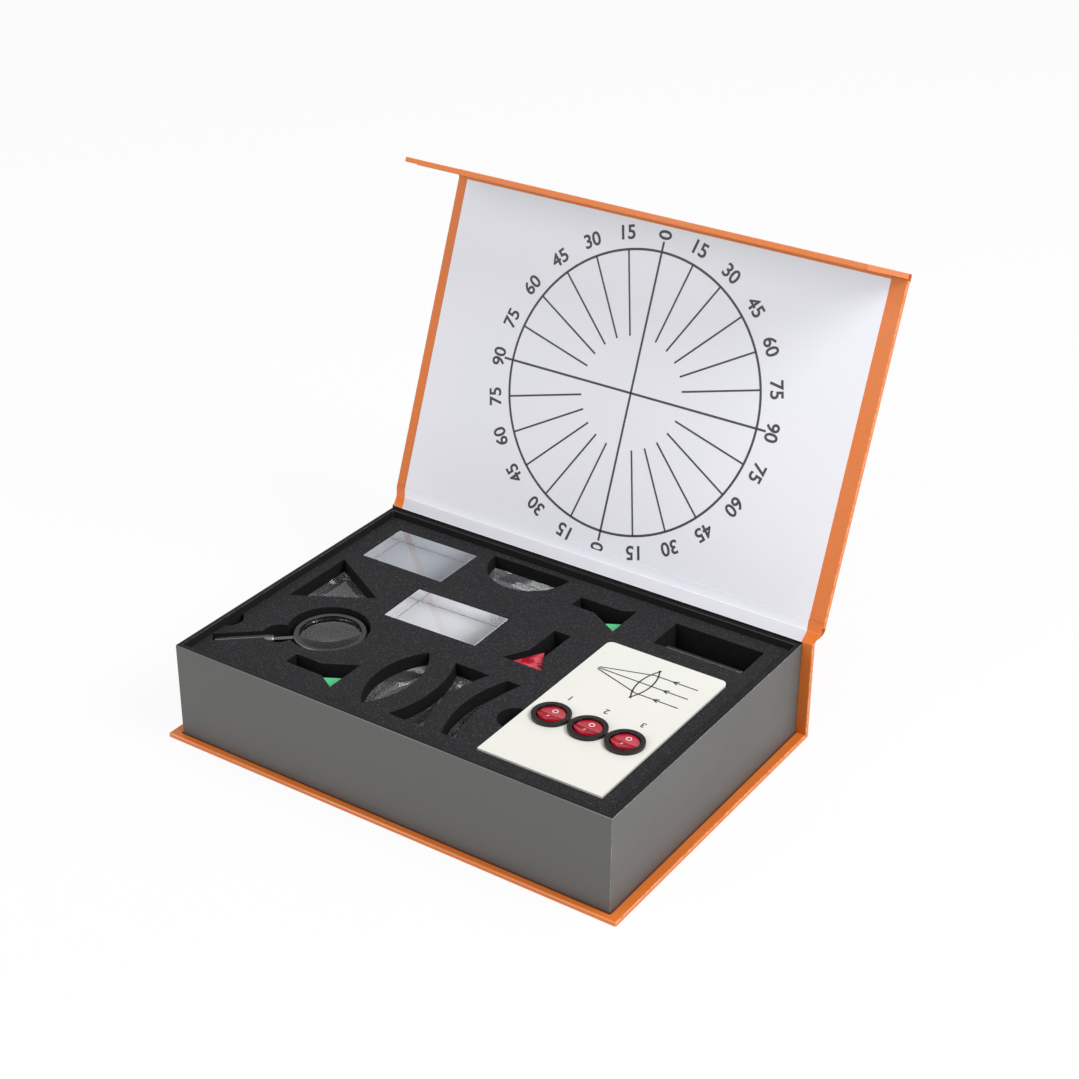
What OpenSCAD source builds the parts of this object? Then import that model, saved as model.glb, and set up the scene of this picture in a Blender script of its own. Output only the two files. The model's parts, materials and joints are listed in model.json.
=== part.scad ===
// Optics ray box kit: a book style case with a foam insert that holds a three beam
// ray box and its set of optical pieces. Millimetres, +Z up, X to the right, Y to
// the back. The origin is on the underside of the base board, below the tray's centre.
// The case is drawn with its lid standing open, as it is used: the lid's inside is
// the printed angle disc that the pieces are laid out on.

/* [Case boards] */
// Thickness of the board that the case is folded from
board_t = 3; // [2:0.5:4]
// How far the boards stand out past the tray on the left and on the right
side_overhang = 7; // [3:0.5:12]
// How far the base board stands out in front of the tray
front_overhang = 5.1; // [5:0.1:10]
// Thickness of the paper that lines the lid and the flap
liner_t = 0.4; // [0.2:0.1:0.8]
// Bare margin of the lid board on the left and right of its liner, on average
liner_margin = 8.75; // [4:0.25:20]
// How far the liner lies off the middle of the lid, to the left where negative
liner_shift = -1.6; // [-3:0.1:3]

/* [Tray] */
// Outer width of the tray
tray_w = 300; // [296:1:330]
// Outer depth of the tray, front to back
tray_d = 207; // [205:1:230]
// Outer height of the tray
tray_h = 61; // [60:1:80]
// Thickness of the tray's four walls
tray_wall = 3; // [2.6:0.2:4]
// Thickness of the tray's floor
tray_floor = 2; // [1.5:0.5:4]

/* [Lid and flap] */
// Angle that the lid stands open, measured from closed
lid_open = 111.2; // [95:0.1:125]
// Gap between the closed lid and the tray's rim
lid_gap = 0.3; // [0.2:0.1:1]
// Height from the lid's fold line up to the inside of the closed lid
hinge_drop = 1.7; // [1.4:0.1:2.2]
// Distance of the lid's fold line behind the spine
hinge_back = 4.8; // [4.4:0.1:5.4]
// Thickness of the crease's web that passes over the spine
hinge_web = 1; // [0.8:0.1:1.2]
// Angle between the flap and its closed place at the tray's front
flap_open = 2; // [0:0.5:60]
// Gap between the closed flap and the tray's front
flap_gap = 1.5; // [0.5:0.1:1.6]
// Gap between the closed flap's edge and the base board
flap_base_gap = 0.6; // [0.4:0.2:10]
// Half the width of the fold between the lid and the flap
fold_half = 2.2; // [2:0.1:3]
// Running gap beside a fold
fold_gap = 0.3; // [0.2:0.1:0.5]

/* [Magnets] */
// Diameter of the magnets in the tray and the flap
magnet_d = 12; // [8:1:15]
// Thickness of the magnets
magnet_t = 1.6; // [1:0.2:1.8]
// Distance of each magnet from the middle of the case
magnet_x = 90; // [40:5:120]
// Height of the magnets above the base board
magnet_z = 15; // [12:1:40]

/* [Foam insert] */
// Depth of the foam's top below the tray's rim
foam_recess = 4.5; // [2:0.5:5.5]
// Thickness of the layer that the pockets are punched in
foam_top_t = 20; // [18:1:22]
// Thickness of the layer that only the deep pockets go through
foam_mid_t = 20; // [16:1:22]
// Gap between the foam and the tray
foam_gap = 0.5; // [0.3:0.1:1]
// Gap between a piece and its pocket
pocket_gap = 0.5; // [0.3:0.1:0.7]
// Radius of the notch at the foam's left edge
edge_notch_r = 8.5; // [6:0.5:10]
// Radius of the finger notch beside the ray box
grip_notch_r = 10.5; // [8:0.5:12]
// Radius of the finger notch at the magnifier's neck
neck_notch_r = 10; // [8:0.5:11]
// Depth of the finger notch at the magnifier's neck
neck_notch_depth = 13; // [11:1:16]
// Reach, shift to the side and width of the finger slot at the first green prism
green_1_slot = [29.2, -3.6, 11];
// Reach, shift to the side and width of the finger slot at the second green prism
green_2_slot = [30.1, 2.2, 10];
// Reach, shift to the side and width of the finger slot at the red prism
red_slot = [33.4, -0.7, 11.4];

/* [Blocks and lenses] */
// Thickness of the lenses, the half round block and the clear prism
lens_t = 12; // [8:1:16]
// Thickness of the two rectangular blocks
block_t = 20; // [14:1:20]
// Length and width of the wide rectangular block
wide_block = [60, 39];
// Length and width of the long rectangular block
long_block = [65, 36];
// Radius of the half round block
semi_r = 27.3; // [20:0.1:28]
// Side of the clear prism
prism_side = 52; // [40:1:53]
// Side of the small coloured prisms
small_prism_side = 26; // [18:1:27]
// Thickness of the two small green prisms
small_prism_t = 11; // [8:1:16]
// Thickness of the small red prism
red_prism_t = 16; // [8:1:18]
// Length of the three lenses
lens_len = 63; // [50:1:64]
// Thickness of the biconvex lens at its middle
convex_w = 23; // [16:1:24]
// Width of the biconcave lens at its ends
concave_w = 22.5; // [16:0.5:23]
// Width of the biconcave lens at its waist
waist_w = 8.6; // [5:0.2:11]
// Width of the curved lens at its middle
curved_w = 9.5; // [6:0.5:10]
// Rise of the outer arc of the curved lens
curved_rise_out = 6.8; // [5:0.2:7.4]
// Rise of the inner arc of the curved lens
curved_rise_in = 5.6; // [4:0.2:6.4]

/* [Mirror] */
// Length of the plane mirror
mirror_len = 50; // [40:1:56]
// Height of the plane mirror
mirror_h = 39.6; // [30:0.2:39.8]
// Thickness of the mirror's glass
mirror_glass_t = 2.6; // [2:0.1:4]
// Thickness of the paint and film on the mirror's back
mirror_back_t = 0.4; // [0.2:0.1:0.6]
// Width and depth of the deep pocket at the back right
store = [59.4, 26.7];

/* [Magnifier] */
// Outer radius of the magnifier's ring
ring_r = 21.8; // [18:0.1:22.5]
// Wall of the ring
ring_wall = 3; // [2.4:0.2:4]
// Height of the ring
ring_h = 6; // [5:0.5:7]
// Thickness of the lens at its middle
loupe_t = 4.4; // [3:0.2:5]
// Thickness of the lens at its rim
loupe_edge = 2; // [1.4:0.2:2.4]
// Length from the middle of the ring to the end of the handle
loupe_reach = 68.5; // [60:0.5:69.5]
// Diameter of the handle
handle_d = 6.4; // [5:0.2:7]
// Diameter of the metal neck
neck_d = 3.2; // [2.4:0.2:4]
// Distance from the middle of the ring to the handle
handle_start = 33; // [30:1:40]
// Depth of the handle's top below the foam's top
handle_sink = 1; // [0.5:0.1:2]
// Radius of the round pocket under the ring
ring_pocket_r = 25; // [24.5:0.1:26]

/* [Ray box] */
// Width of the ray box
box_w = 80; // [78:0.5:82]
// Length of the ray box
box_l = 134; // [130:0.5:136]
// Height of the ray box
box_h = 41; // [40:0.5:41.5]
// Wall of the ray box shells
box_wall = 2.2; // [1.8:0.1:2.6]
// Height of the lower shell
box_split = 15; // [14:0.5:16]
// Radius of the back corners
box_corner_r = 4; // [3:0.5:6]

/* [Switches] */
// Distance of the switches from the front of the ray box
switch_in = 48.4; // [44:0.2:50]
// Distance between two switches
switch_pitch = 24; // [23.6:0.1:24.4]
// Diameter of the switch's bezel
bezel_d = 23; // [22:0.1:23.4]
// Thickness of the bezel
bezel_t = 2; // [1.6:0.1:2.4]
// Diameter of the hole that the switch snaps into
switch_hole_d = 20; // [19.6:0.1:20.2]
// Radius of the well that the rocker moves in
well_r = 8.7; // [8.5:0.1:8.9]
// Radius of the rocker's round plan
rocker_r = 8; // [7.6:0.1:8.1]
// Height of the rocker's middle above its pin
rocker_rise = 1.4; // [1.2:0.1:1.6]
// Depth of the pin below the top of the ray box
pin_drop = 0.6; // [0.4:0.1:1]
// Slope of each half of the rocker
rocker_slope = 10; // [8:1:12]
// Radius of the rocker's pin
rocker_pin_r = 0.9; // [0.7:0.1:1.2]

/* [Beam sources] */
// Height of the beams above the underside of the ray box
beam_z = 10; // [9:0.5:10.5]
// Radius of each barrel
barrel_r = 6; // [5:0.5:6]
// Length of each barrel
barrel_l = 30; // [24:1:32]
// Radius of the small lens in each barrel
line_lens_r = 4; // [3:0.5:4.5]
// Radius of the hole that each beam leaves by
beam_hole_r = 3.5; // [2:0.5:4]

/* [Battery bay] */
// Radius of a cell
cell_r = 7.1; // [7:0.05:7.2]
// Length of a cell with its nub
cell_l = 50; // [49:0.5:50.5]
// Length inside the cell holder
bay_l = 57; // [56:0.5:58]

/* [Hidden] */
$fn = 96;
eps = 0.01;

// Heights of the main faces
tray_z = board_t;
rim_z = tray_z + tray_h;
foam_z = rim_z - foam_recess;
shelf_z = foam_z - foam_top_t;
deep_z = shelf_z - foam_mid_t;
floor_z = tray_z + tray_floor;

// The case boards share one width, and the closed lid one stack of board and liner
case_w = tray_w + 2 * side_overhang;
panel_t = board_t + liner_t;
liner_w = case_w - 2 * liner_margin;
front_y = -tray_d / 2;
spine_y = tray_d / 2 + board_t;
lid_z = rim_z + lid_gap;
spine_top = lid_z + panel_t - hinge_web - fold_gap;

// Fold lines, with the lid and the flap closed
lid_fold = [0, spine_y + hinge_back, lid_z - hinge_drop];
flap_fold = [0, front_y - flap_gap - panel_t / 2, lid_z + panel_t / 2];
lid_bead_r = hinge_back - 0.8;
flap_bead_r = fold_half - fold_gap;
spine_reach = norm([hinge_back + board_t, spine_top - lid_fold.z]);
lid_back_y = lid_fold.y - sqrt(pow(spine_reach, 2) - pow(hinge_drop, 2)) - fold_gap;
lid_front_y = flap_fold.y + fold_half;
flap_len = flap_fold.z - fold_half - board_t - flap_base_gap;

// The foam fills the tray, and each pocket sits at a share of the tray's width and depth
// from the tray's centre, with its turn about Z
foam_w = tray_w - 2 * (tray_wall + foam_gap);
foam_d = tray_d - 2 * (tray_wall + foam_gap);
function spot(x, y, turn = 0) = [x * tray_w, y * tray_d, turn];
wide_block_at = spot(-0.34, 0.332, 0.6);
long_block_at = spot(-0.1467, 0.085, 1.6);
semi_at = spot(-0.1147, 0.456);
clear_prism_at = spot(-0.408, 0.0531);
green_prism_1_at = spot(0.1313, 0.3546, 180);
green_prism_2_at = spot(-0.2017, -0.3304, 180);
red_prism_at = spot(0.0787, 0.0357, 90);
biconvex_at = spot(-0.093, -0.257);
biconcave_at = spot(0.0107, -0.257);
curved_at = spot(0.084, -0.2522);
store_at = spot(0.345, 0.3643);
box_at = spot(0.308, -0.0908);

// The magnifier keeps its distance from the tray's left side, where its handle ends
magnifier_at = [58.8 - tray_w / 2, -0.1652 * tray_d, 220.7];
ring_pocket_at = [magnifier_at.x - 2, magnifier_at.y + 1];
edge_notch_at = [0.5 - tray_w / 2, -0.2754 * tray_d];
grip_notch_at = [box_at.x - box_w / 2 + 0.1, box_at.y - 0.229 * box_l];
neck_notch_along = 30;

// Sections of the ray box, from the middle of its underside
box_z = deep_z;
box_inner_w = box_w - 2 * box_wall;
box_ceiling = box_h - box_wall;
switch_y = -box_l / 2 + switch_in;
switch_x = [for (i = [-1:1]) i * switch_pitch];
beam_pitch = (box_w - 32) / 2;
beam_x = [for (i = [-1:1]) i * beam_pitch];
housing_r = switch_hole_d / 2 - 0.2;
housing_depth = 13;
well_depth = 9.6;
terminal_h = 8;
terminal_z = box_h - housing_depth - terminal_h;
terminal_y = 5;
terminal_t = 0.8;
pin_reach = housing_r - 0.5;
pin_gap = 0.1;
panel_y = -box_l / 2;
aperture_t = 2.5;
window = [2 * beam_pitch + 2 * barrel_r + 4, 1, 2 * barrel_r];
barrel_y = panel_y + aperture_t + 3.5;
bracket_y = barrel_y + 0.3 * barrel_l;
bracket_l = barrel_l / 3;
screw_xy = [for (x = [-1, 1], y = [-1, 1]) [x * (box_w / 2 - 5.7), y * (box_l / 2 - 10.5)]];
bay_wall = 1.5;
bay_y = box_l / 2 - box_wall - 0.8 - bay_l - 2 * bay_wall;
bay_mid = bay_y + bay_wall + bay_l / 2;
bay_half_w = 2 * cell_r + 1.2;
bay_top = box_wall + 2 * cell_r + 1.1;
cell_z = box_wall + 0.5 + cell_r;
cell_x = cell_r + 0.3;
board_pcb = [50, 42, 1.6];
board_top_z = 24;
board_y = bay_mid - 4;
door_size = [2 * bay_half_w + 4, bay_l + 3];
wire_r = 0.6;

// Flat outlines, each grown by a gap so that a piece and its pocket share one shape

module block_outline(size, gap) {
    square([size.x + 2 * gap, size.y + 2 * gap], center = true);
}

// Half disc with its flat side to the back
module semi_outline(r, gap) {
    intersection() {
        circle(r + gap);
        translate([-r - 1 - gap, -r - 1 - gap])
            square([2 * (r + 1 + gap), r + 1 + 2 * gap]);
    }
}

// Equal sided triangle that points along +X
module prism_outline(side, gap) {
    circle(r = side / sqrt(3) + 2 * gap, $fn = 3);
}

// Radius of an arc from its chord and its rise
function arc_r(chord, rise) = (chord * chord / 4 + rise * rise) / (2 * rise);

module biconvex_outline(gap) {
    r = arc_r(lens_len, convex_w / 2);
    intersection_for (s = [-1, 1])
        translate([s * (r - convex_w / 2), 0])
            circle(r + gap);
}

module biconcave_outline(gap) {
    r = arc_r(lens_len, (concave_w - waist_w) / 2);
    difference() {
        square([concave_w + 2 * gap, lens_len + 2 * gap], center = true);
        for (s = [-1, 1])
            translate([s * (waist_w / 2 + r), 0])
                circle(r - gap);
    }
}

module curved_outline(gap) {
    r_out = arc_r(lens_len, curved_rise_out);
    r_in = arc_r(lens_len, curved_rise_in);
    half = lens_len / 2 + gap;
    intersection() {
        difference() {
            translate([r_out - curved_w / 2, 0])
                circle(r_out + gap);
            translate([r_in + curved_w / 2, 0])
                circle(r_in - gap);
        }
        translate([-lens_len / 2, -half])
            square([lens_len, 2 * half]);
    }
}

// Outline of the ray box: square at the front, rounded at the two back corners
module box_outline(gap) {
    w = box_w + 2 * gap;
    l = box_l + 2 * gap;
    r = box_corner_r + gap;
    translate([-w / 2, -l / 2]) square([w, l - r]);
    translate([-w / 2 + r, -l / 2]) square([w - 2 * r, l]);
    for (s = [-1, 1])
        translate([s * (w / 2 - r), l / 2 - r]) circle(r);
}

// Puts a flat outline or a piece at its place in the foam: x, y and the turn about Z
module at(place, z = 0) {
    translate([place.x, place.y, z])
        rotate([0, 0, place[2]])
            children();
}

// Pocket of a small prism, with the finger slot that runs on past its point
module prism_pocket(slot) {
    prism_outline(small_prism_side, pocket_gap);
    translate([0, slot[1] - slot[2] / 2]) square([slot[0], slot[2]]);
}

// Everything that is punched through the top layer
module punched_outlines() {
    at(wide_block_at) block_outline(wide_block, pocket_gap);
    at(long_block_at) block_outline(long_block, pocket_gap);
    at(semi_at) semi_outline(semi_r, pocket_gap);
    at(clear_prism_at) prism_outline(prism_side, pocket_gap);
    at(green_prism_1_at) prism_pocket(green_1_slot);
    at(green_prism_2_at) prism_pocket(green_2_slot);
    at(red_prism_at) prism_pocket(red_slot);
    at(biconvex_at) biconvex_outline(pocket_gap);
    at(biconcave_at) biconcave_outline(pocket_gap);
    at(curved_at) curved_outline(pocket_gap);
    translate(ring_pocket_at) circle(ring_pocket_r);
    translate(edge_notch_at) circle(edge_notch_r);
    translate(grip_notch_at) circle(grip_notch_r);
    deep_outlines();
}

// The two pockets that go through the middle layer as well
module deep_outlines() {
    translate(box_at) box_outline(pocket_gap);
    translate(store_at) square(store, center = true);
}

// Case

module base_board() {
    color([0.86, 0.52, 0.36])
        translate([-case_w / 2, front_y - front_overhang, 0])
            cube([case_w, tray_d + front_overhang, board_t]);
}

module spine_board() {
    color([0.78, 0.4, 0.2])
        translate([-case_w / 2, tray_d / 2, 0])
            cube([case_w, board_t, spine_top]);
}

// A round magnet lying in the tray's front wall or the flap, its face to the front
module magnet_disc(depth, grow = 0) {
    rotate([-90, 0, 0])
        cylinder(r = magnet_d / 2 + grow, h = depth);
}

module tray_shell() {
    color([0.36, 0.35, 0.34])
        difference() {
            translate([-tray_w / 2, front_y, tray_z])
                cube([tray_w, tray_d, tray_h]);
            translate([-tray_w / 2 + tray_wall, front_y + tray_wall, floor_z])
                cube([tray_w - 2 * tray_wall, tray_d - 2 * tray_wall, tray_h]);
            for (s = [-1, 1])
                translate([s * magnet_x, front_y + tray_wall - magnet_t - 0.1, board_t + magnet_z])
                    magnet_disc(magnet_t + 1, grow = 0.1);
        }
}

module tray_magnets() {
    color([0.72, 0.72, 0.74])
        for (s = [-1, 1])
            translate([s * magnet_x, front_y + tray_wall - magnet_t - 0.05, board_t + magnet_z])
                magnet_disc(magnet_t);
}

// Foam

module foam_slab(z, t) {
    translate([-foam_w / 2, -foam_d / 2, z])
        cube([foam_w, foam_d, t]);
}

module foam_top_layer() {
    color([0.19, 0.19, 0.2])
        difference() {
            foam_slab(shelf_z, foam_top_t);
            translate([0, 0, shelf_z - 1])
                linear_extrude(foam_top_t + 2)
                    punched_outlines();
            at(magnifier_at, foam_z) {
                translate([neck_notch_along, 0, -neck_notch_depth])
                    cylinder(r = neck_notch_r, h = neck_notch_depth + 1);
                translate([ring_r - 6, -handle_d / 2 - pocket_gap, -handle_sink - handle_d - 0.3])
                    cube([loupe_reach - ring_r + 6 + pocket_gap, handle_d + 2 * pocket_gap, handle_d * 2]);
            }
        }
}

module foam_mid_layer() {
    color([0.17, 0.17, 0.18])
        difference() {
            foam_slab(deep_z, foam_mid_t);
            translate([0, 0, deep_z - 1])
                linear_extrude(foam_mid_t + 2)
                    deep_outlines();
        }
}

module foam_base_pad() {
    color([0.15, 0.15, 0.16])
        foam_slab(floor_z, deep_z - floor_z);
}

// Lid and flap, drawn closed and then turned open about their fold lines

module turned_about(point, angle) {
    translate(point)
        rotate([angle, 0, 0])
            translate(-point)
                children();
}

module lid_place() {
    turned_about(lid_fold, -lid_open) children();
}

module flap_place() {
    lid_place() turned_about(flap_fold, -flap_open) children();
}

module lid_board() {
    color([0.88, 0.46, 0.2])
        lid_place()
            translate([-case_w / 2, lid_front_y, lid_z + liner_t])
                cube([case_w, lid_back_y - lid_front_y, board_t]);
}

module lid_liner() {
    color([0.88, 0.88, 0.9])
        lid_place()
            translate([liner_shift - liner_w / 2, lid_front_y + 0.2, lid_z])
                cube([liner_w, lid_back_y - lid_front_y - 0.2, liner_t]);
}

// Crease of the wrap between the spine and the lid, with the webs that join it to the lid
module lid_hinge_strip() {
    color([0.92, 0.55, 0.35])
        lid_place()
            union() {
                translate([-case_w / 2, lid_fold.y, lid_fold.z])
                    rotate([0, 90, 0])
                        cylinder(r = lid_bead_r, h = case_w);
                translate([-case_w / 2, lid_fold.y - 0.6, lid_fold.z])
                    cube([case_w, 1.6, lid_z + panel_t - lid_fold.z]);
                translate([-case_w / 2, lid_back_y, lid_z + panel_t - hinge_web])
                    cube([case_w, lid_fold.y + 1 - lid_back_y, hinge_web]);
            }
}

module flap_hinge_strip() {
    color([0.92, 0.55, 0.35])
        lid_place()
            union() {
                translate([-case_w / 2, flap_fold.y, flap_fold.z])
                    rotate([0, 90, 0])
                        cylinder(r = flap_bead_r, h = case_w);
                translate([-case_w / 2, flap_fold.y, flap_fold.z - 0.8])
                    cube([case_w, fold_half, 1.6]);
            }
}

module flap_board() {
    flap_y = flap_fold.y - panel_t / 2;
    flap_z = flap_fold.z - fold_half - flap_len;
    color([0.86, 0.46, 0.22])
        flap_place()
            difference() {
                translate([-case_w / 2, flap_y, flap_z])
                    cube([case_w, board_t, flap_len]);
                for (s = [-1, 1])
                    translate([s * magnet_x, flap_y + board_t - magnet_t - 0.1, board_t + magnet_z])
                        magnet_disc(magnet_t + 1, grow = 0.1);
            }
}

module flap_liner() {
    color([0.84, 0.44, 0.22])
        flap_place()
            translate([liner_shift - liner_w / 2, flap_fold.y - panel_t / 2 + board_t,
                       flap_fold.z - fold_half - flap_len + 3])
                cube([liner_w, liner_t, flap_len - 3]);
}

module flap_magnets() {
    color([0.72, 0.72, 0.74])
        flap_place()
            for (s = [-1, 1])
                translate([s * magnet_x, flap_fold.y - panel_t / 2 + board_t - magnet_t - 0.05,
                           board_t + magnet_z])
                    magnet_disc(magnet_t);
}

// Ray box, drawn from the middle of its underside

module in_ray_box() {
    translate([box_at.x, box_at.y, box_z]) children();
}

module shell_hollow(z, h) {
    translate([-box_inner_w / 2, -box_l / 2 - 1, z])
        cube([box_inner_w, box_l + 1 - box_wall, h]);
}

module ray_box_upper_shell() {
    color([0.94, 0.94, 0.92])
        in_ray_box()
            difference() {
                union() {
                    difference() {
                        translate([0, 0, box_split])
                            linear_extrude(box_h - box_split) box_outline(0);
                        shell_hollow(box_split - 1, box_ceiling - box_split + 1);
                    }
                    for (p = screw_xy)
                        translate([p.x, p.y, box_split])
                            cylinder(r = 3.6, h = box_ceiling - box_split);
                    for (x = [-1, 1], y = [-1, 1])
                        translate([x * (board_pcb.x / 2 - 4), board_y + y * (board_pcb.y / 2 - 4), board_top_z])
                            cylinder(r = 2.5, h = box_ceiling - board_top_z);
                }
                for (p = screw_xy)
                    translate([p.x, p.y, box_split - 1])
                        cylinder(r = 1.55, h = 13);
                for (x = switch_x)
                    translate([x, switch_y, box_ceiling - 1])
                        cylinder(r = switch_hole_d / 2, h = box_wall + 2);
            }
}

module ray_box_lower_shell() {
    color([0.92, 0.92, 0.9])
        in_ray_box()
            difference() {
                union() {
                    difference() {
                        linear_extrude(box_split) box_outline(0);
                        shell_hollow(box_wall, box_split);
                    }
                    for (p = screw_xy)
                        translate([p.x, p.y, 0]) cylinder(r = 3.8, h = box_split);
                }
                for (p = screw_xy)
                    translate([p.x, p.y, -1]) {
                        cylinder(r = 1.7, h = box_split + 2);
                        cylinder(r = 3, h = 10);
                    }
                translate([0, bay_mid, 0]) {
                    cube([door_size.x, door_size.y, 2.4], center = true);
                    cube([door_size.x - 4, door_size.y - 4, 2 * box_wall + 1], center = true);
                }
            }
}

// Front end of the ray box with one hole for each beam and a seat for the window
module aperture_panel() {
    color([0.2, 0.2, 0.21])
        in_ray_box()
            difference() {
                translate([-box_inner_w / 2 + 0.1, panel_y, box_wall + 0.1])
                    cube([box_inner_w - 0.2, aperture_t, box_ceiling - box_wall - 0.2]);
                translate([-window.x / 2, panel_y - window.y, beam_z - window.z / 2])
                    cube([window.x, 2 * window.y, window.z]);
                for (x = beam_x)
                    translate([x, panel_y - 1, beam_z])
                        rotate([-90, 0, 0])
                            cylinder(r = beam_hole_r, h = aperture_t + 2);
            }
}

module beam_window() {
    color([0.8, 0.88, 0.9, 0.5])
        in_ray_box()
            translate([0.1 - window.x / 2, panel_y, beam_z + 0.1 - window.z / 2])
                cube([window.x - 0.2, window.y, window.z - 0.2]);
}

// Four screws that come up through the lower shell into the upper one
module shell_screws() {
    color([0.7, 0.7, 0.72])
        in_ray_box()
            for (p = screw_xy)
                translate([p.x, p.y, 0]) {
                    translate([0, 0, 9]) cylinder(r = 1.45, h = 14);
                    difference() {
                        translate([0, 0, 6.8]) cylinder(r = 2.7, h = 2.2);
                        translate([-0.4, -1.8, 6]) cube([0.8, 3.6, 1.9]);
                        translate([-1.8, -0.4, 6]) cube([3.6, 0.8, 1.9]);
                    }
                }
}

module barrel_bracket() {
    color([0.16, 0.16, 0.17])
        in_ray_box()
            difference() {
                translate([-beam_pitch - barrel_r - 1, bracket_y, box_wall])
                    cube([2 * (beam_pitch + barrel_r + 1), bracket_l, beam_z + barrel_r + 1.5 - box_wall]);
                for (x = beam_x)
                    translate([x, bracket_y - 1, beam_z])
                        rotate([-90, 0, 0])
                            cylinder(r = barrel_r + 0.1, h = bracket_l + 2);
            }
}

module beam_barrel(x) {
    color([0.78, 0.62, 0.28])
        in_ray_box()
            translate([x, barrel_y, beam_z])
                rotate([-90, 0, 0])
                    difference() {
                        cylinder(r = barrel_r, h = barrel_l);
                        translate([0, 0, -1]) cylinder(r = line_lens_r + 0.1, h = 3.5);
                        cylinder(r = line_lens_r - 1.5, h = 12);
                    }
}

module line_lens(x) {
    color([0.85, 0.9, 0.92, 0.5])
        in_ray_box()
            translate([x, barrel_y + 0.5, beam_z])
                rotate([-90, 0, 0])
                    cylinder(r = line_lens_r, h = 2);
}

module driver_board() {
    color([0.1, 0.4, 0.22])
        in_ray_box()
            translate([-board_pcb.x / 2, board_y - board_pcb.y / 2, board_top_z - board_pcb.z])
                cube(board_pcb);
}

module board_components() {
    color([0.15, 0.15, 0.16])
        in_ray_box()
            translate([0, board_y, board_top_z]) {
                translate([-4, -3, 0]) cube([8, 6, 1.8]);
                for (x = switch_x)
                    translate([x * 0.6, -12, 0]) cylinder(r = 3.2, h = 8);
                for (i = [0:3])
                    translate([-9 + 5 * i, 9, 0]) cube([3, 6, 1.6]);
            }
}

// Holder for the two cells, open at the bottom behind the battery door
module cell_holder() {
    color([0.14, 0.14, 0.15])
        in_ray_box()
            difference() {
                translate([-bay_half_w - bay_wall, bay_y, box_wall])
                    cube([2 * (bay_half_w + bay_wall), bay_l + 2 * bay_wall, bay_top + bay_wall - box_wall]);
                translate([-bay_half_w, bay_y + bay_wall, 0])
                    cube([2 * bay_half_w, bay_l, bay_top]);
            }
}

module battery_cell(side) {
    body_l = cell_l - 1.5;
    color([0.75, 0.2, 0.15])
        in_ray_box()
            translate([side * cell_x, bay_mid + side * (bay_l - cell_l - 0.8) / 2, cell_z])
                rotate([side * -90, 0, 0])
                    translate([0, 0, -cell_l / 2]) {
                        cylinder(r = cell_r, h = body_l);
                        translate([0, 0, body_l]) cylinder(r = 2.7, h = 1.5);
                    }
}

// Flat plates at the nub ends and springs at the flat ends of the cells
module contact_plates() {
    color([0.8, 0.8, 0.78])
        in_ray_box()
            for (side = [-1, 1], end = [-1, 1])
                translate([side * cell_x - 5, bay_mid + end * (bay_l / 2 - 0.2) - 0.2, cell_z - 5])
                    cube([10, 0.4, 10]);
}

module contact_springs() {
    gap = bay_l - cell_l - 0.8;
    color([0.8, 0.8, 0.78])
        in_ray_box()
            for (side = [-1, 1])
                translate([side * cell_x, bay_mid - side * (bay_l / 2 - 0.4), cell_z])
                    rotate([side * -90, 0, 0])
                        difference() {
                            cylinder(r1 = 4.2, r2 = 2.6, h = gap);
                            translate([0, 0, -1]) cylinder(r = 1.6, h = gap + 2);
                        }
}

module battery_door() {
    color([0.91, 0.91, 0.89])
        in_ray_box()
            translate([0, bay_mid, 0])
                difference() {
                    union() {
                        translate([-door_size.x / 2 + 0.2, -door_size.y / 2 + 0.2, 0])
                            cube([door_size.x - 0.4, door_size.y - 0.4, 1.2]);
                        translate([-door_size.x / 2 + 2.2, -door_size.y / 2 + 2.2, 1])
                            cube([door_size.x - 4.4, door_size.y - 4.4, 1.2]);
                    }
                    cylinder(r = 1.6, h = 10, center = true);
                    translate([0, 0, -1]) cylinder(r = 2.6, h = 1.9);
                }
}

module door_screw() {
    color([0.7, 0.7, 0.72])
        in_ray_box()
            translate([0, bay_mid, 0])
                difference() {
                    union() {
                        translate([0, 0, 0.1]) cylinder(r = 2.4, h = 0.8);
                        translate([0, 0, 0.5]) cylinder(r = 1.3, h = 1.7);
                    }
                    translate([-0.3, -1.6, -0.5]) cube([0.6, 3.2, 1]);
                }
}

// One wire along a list of points, with a ball at each bend
module wire(points) {
    for (i = [0:len(points) - 2]) {
        run = points[i + 1] - points[i];
        translate(points[i])
            rotate([0, acos(run.z / norm(run)), atan2(run.y, run.x)])
                cylinder(r = wire_r, h = norm(run), $fn = 24);
        if (i > 0)
            translate(points[i]) sphere(r = wire_r, $fn = 24);
    }
}

module wiring() {
    tap_z = terminal_z + 3;
    front_tap = switch_y - terminal_y - terminal_t / 2;
    back_tap = switch_y + terminal_y + terminal_t / 2;
    drop_y = barrel_y + barrel_l + 3;
    board_edge = board_y - board_pcb.y / 2;
    color([0.75, 0.1, 0.1])
        in_ray_box() {
            for (i = [0:2]) {
                from = switch_x[i];
                to = beam_x[i];
                wire([[from, back_tap, tap_z], [from, board_edge, tap_z]]);
                wire([[from, front_tap, tap_z], [from, drop_y, tap_z], [to, drop_y, beam_z],
                      [to, drop_y - 3, beam_z]]);
            }
            for (side = [-1, 1])
                wire([[side * cell_x, bay_y, cell_z], [side * cell_x, bay_y - 3, cell_z],
                      [side * cell_x, bay_y - 3, bay_top + 3], [side * cell_x, board_edge + 5, bay_top + 3],
                      [side * cell_x, board_edge + 5, board_top_z - board_pcb.z]]);
        }
}

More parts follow.
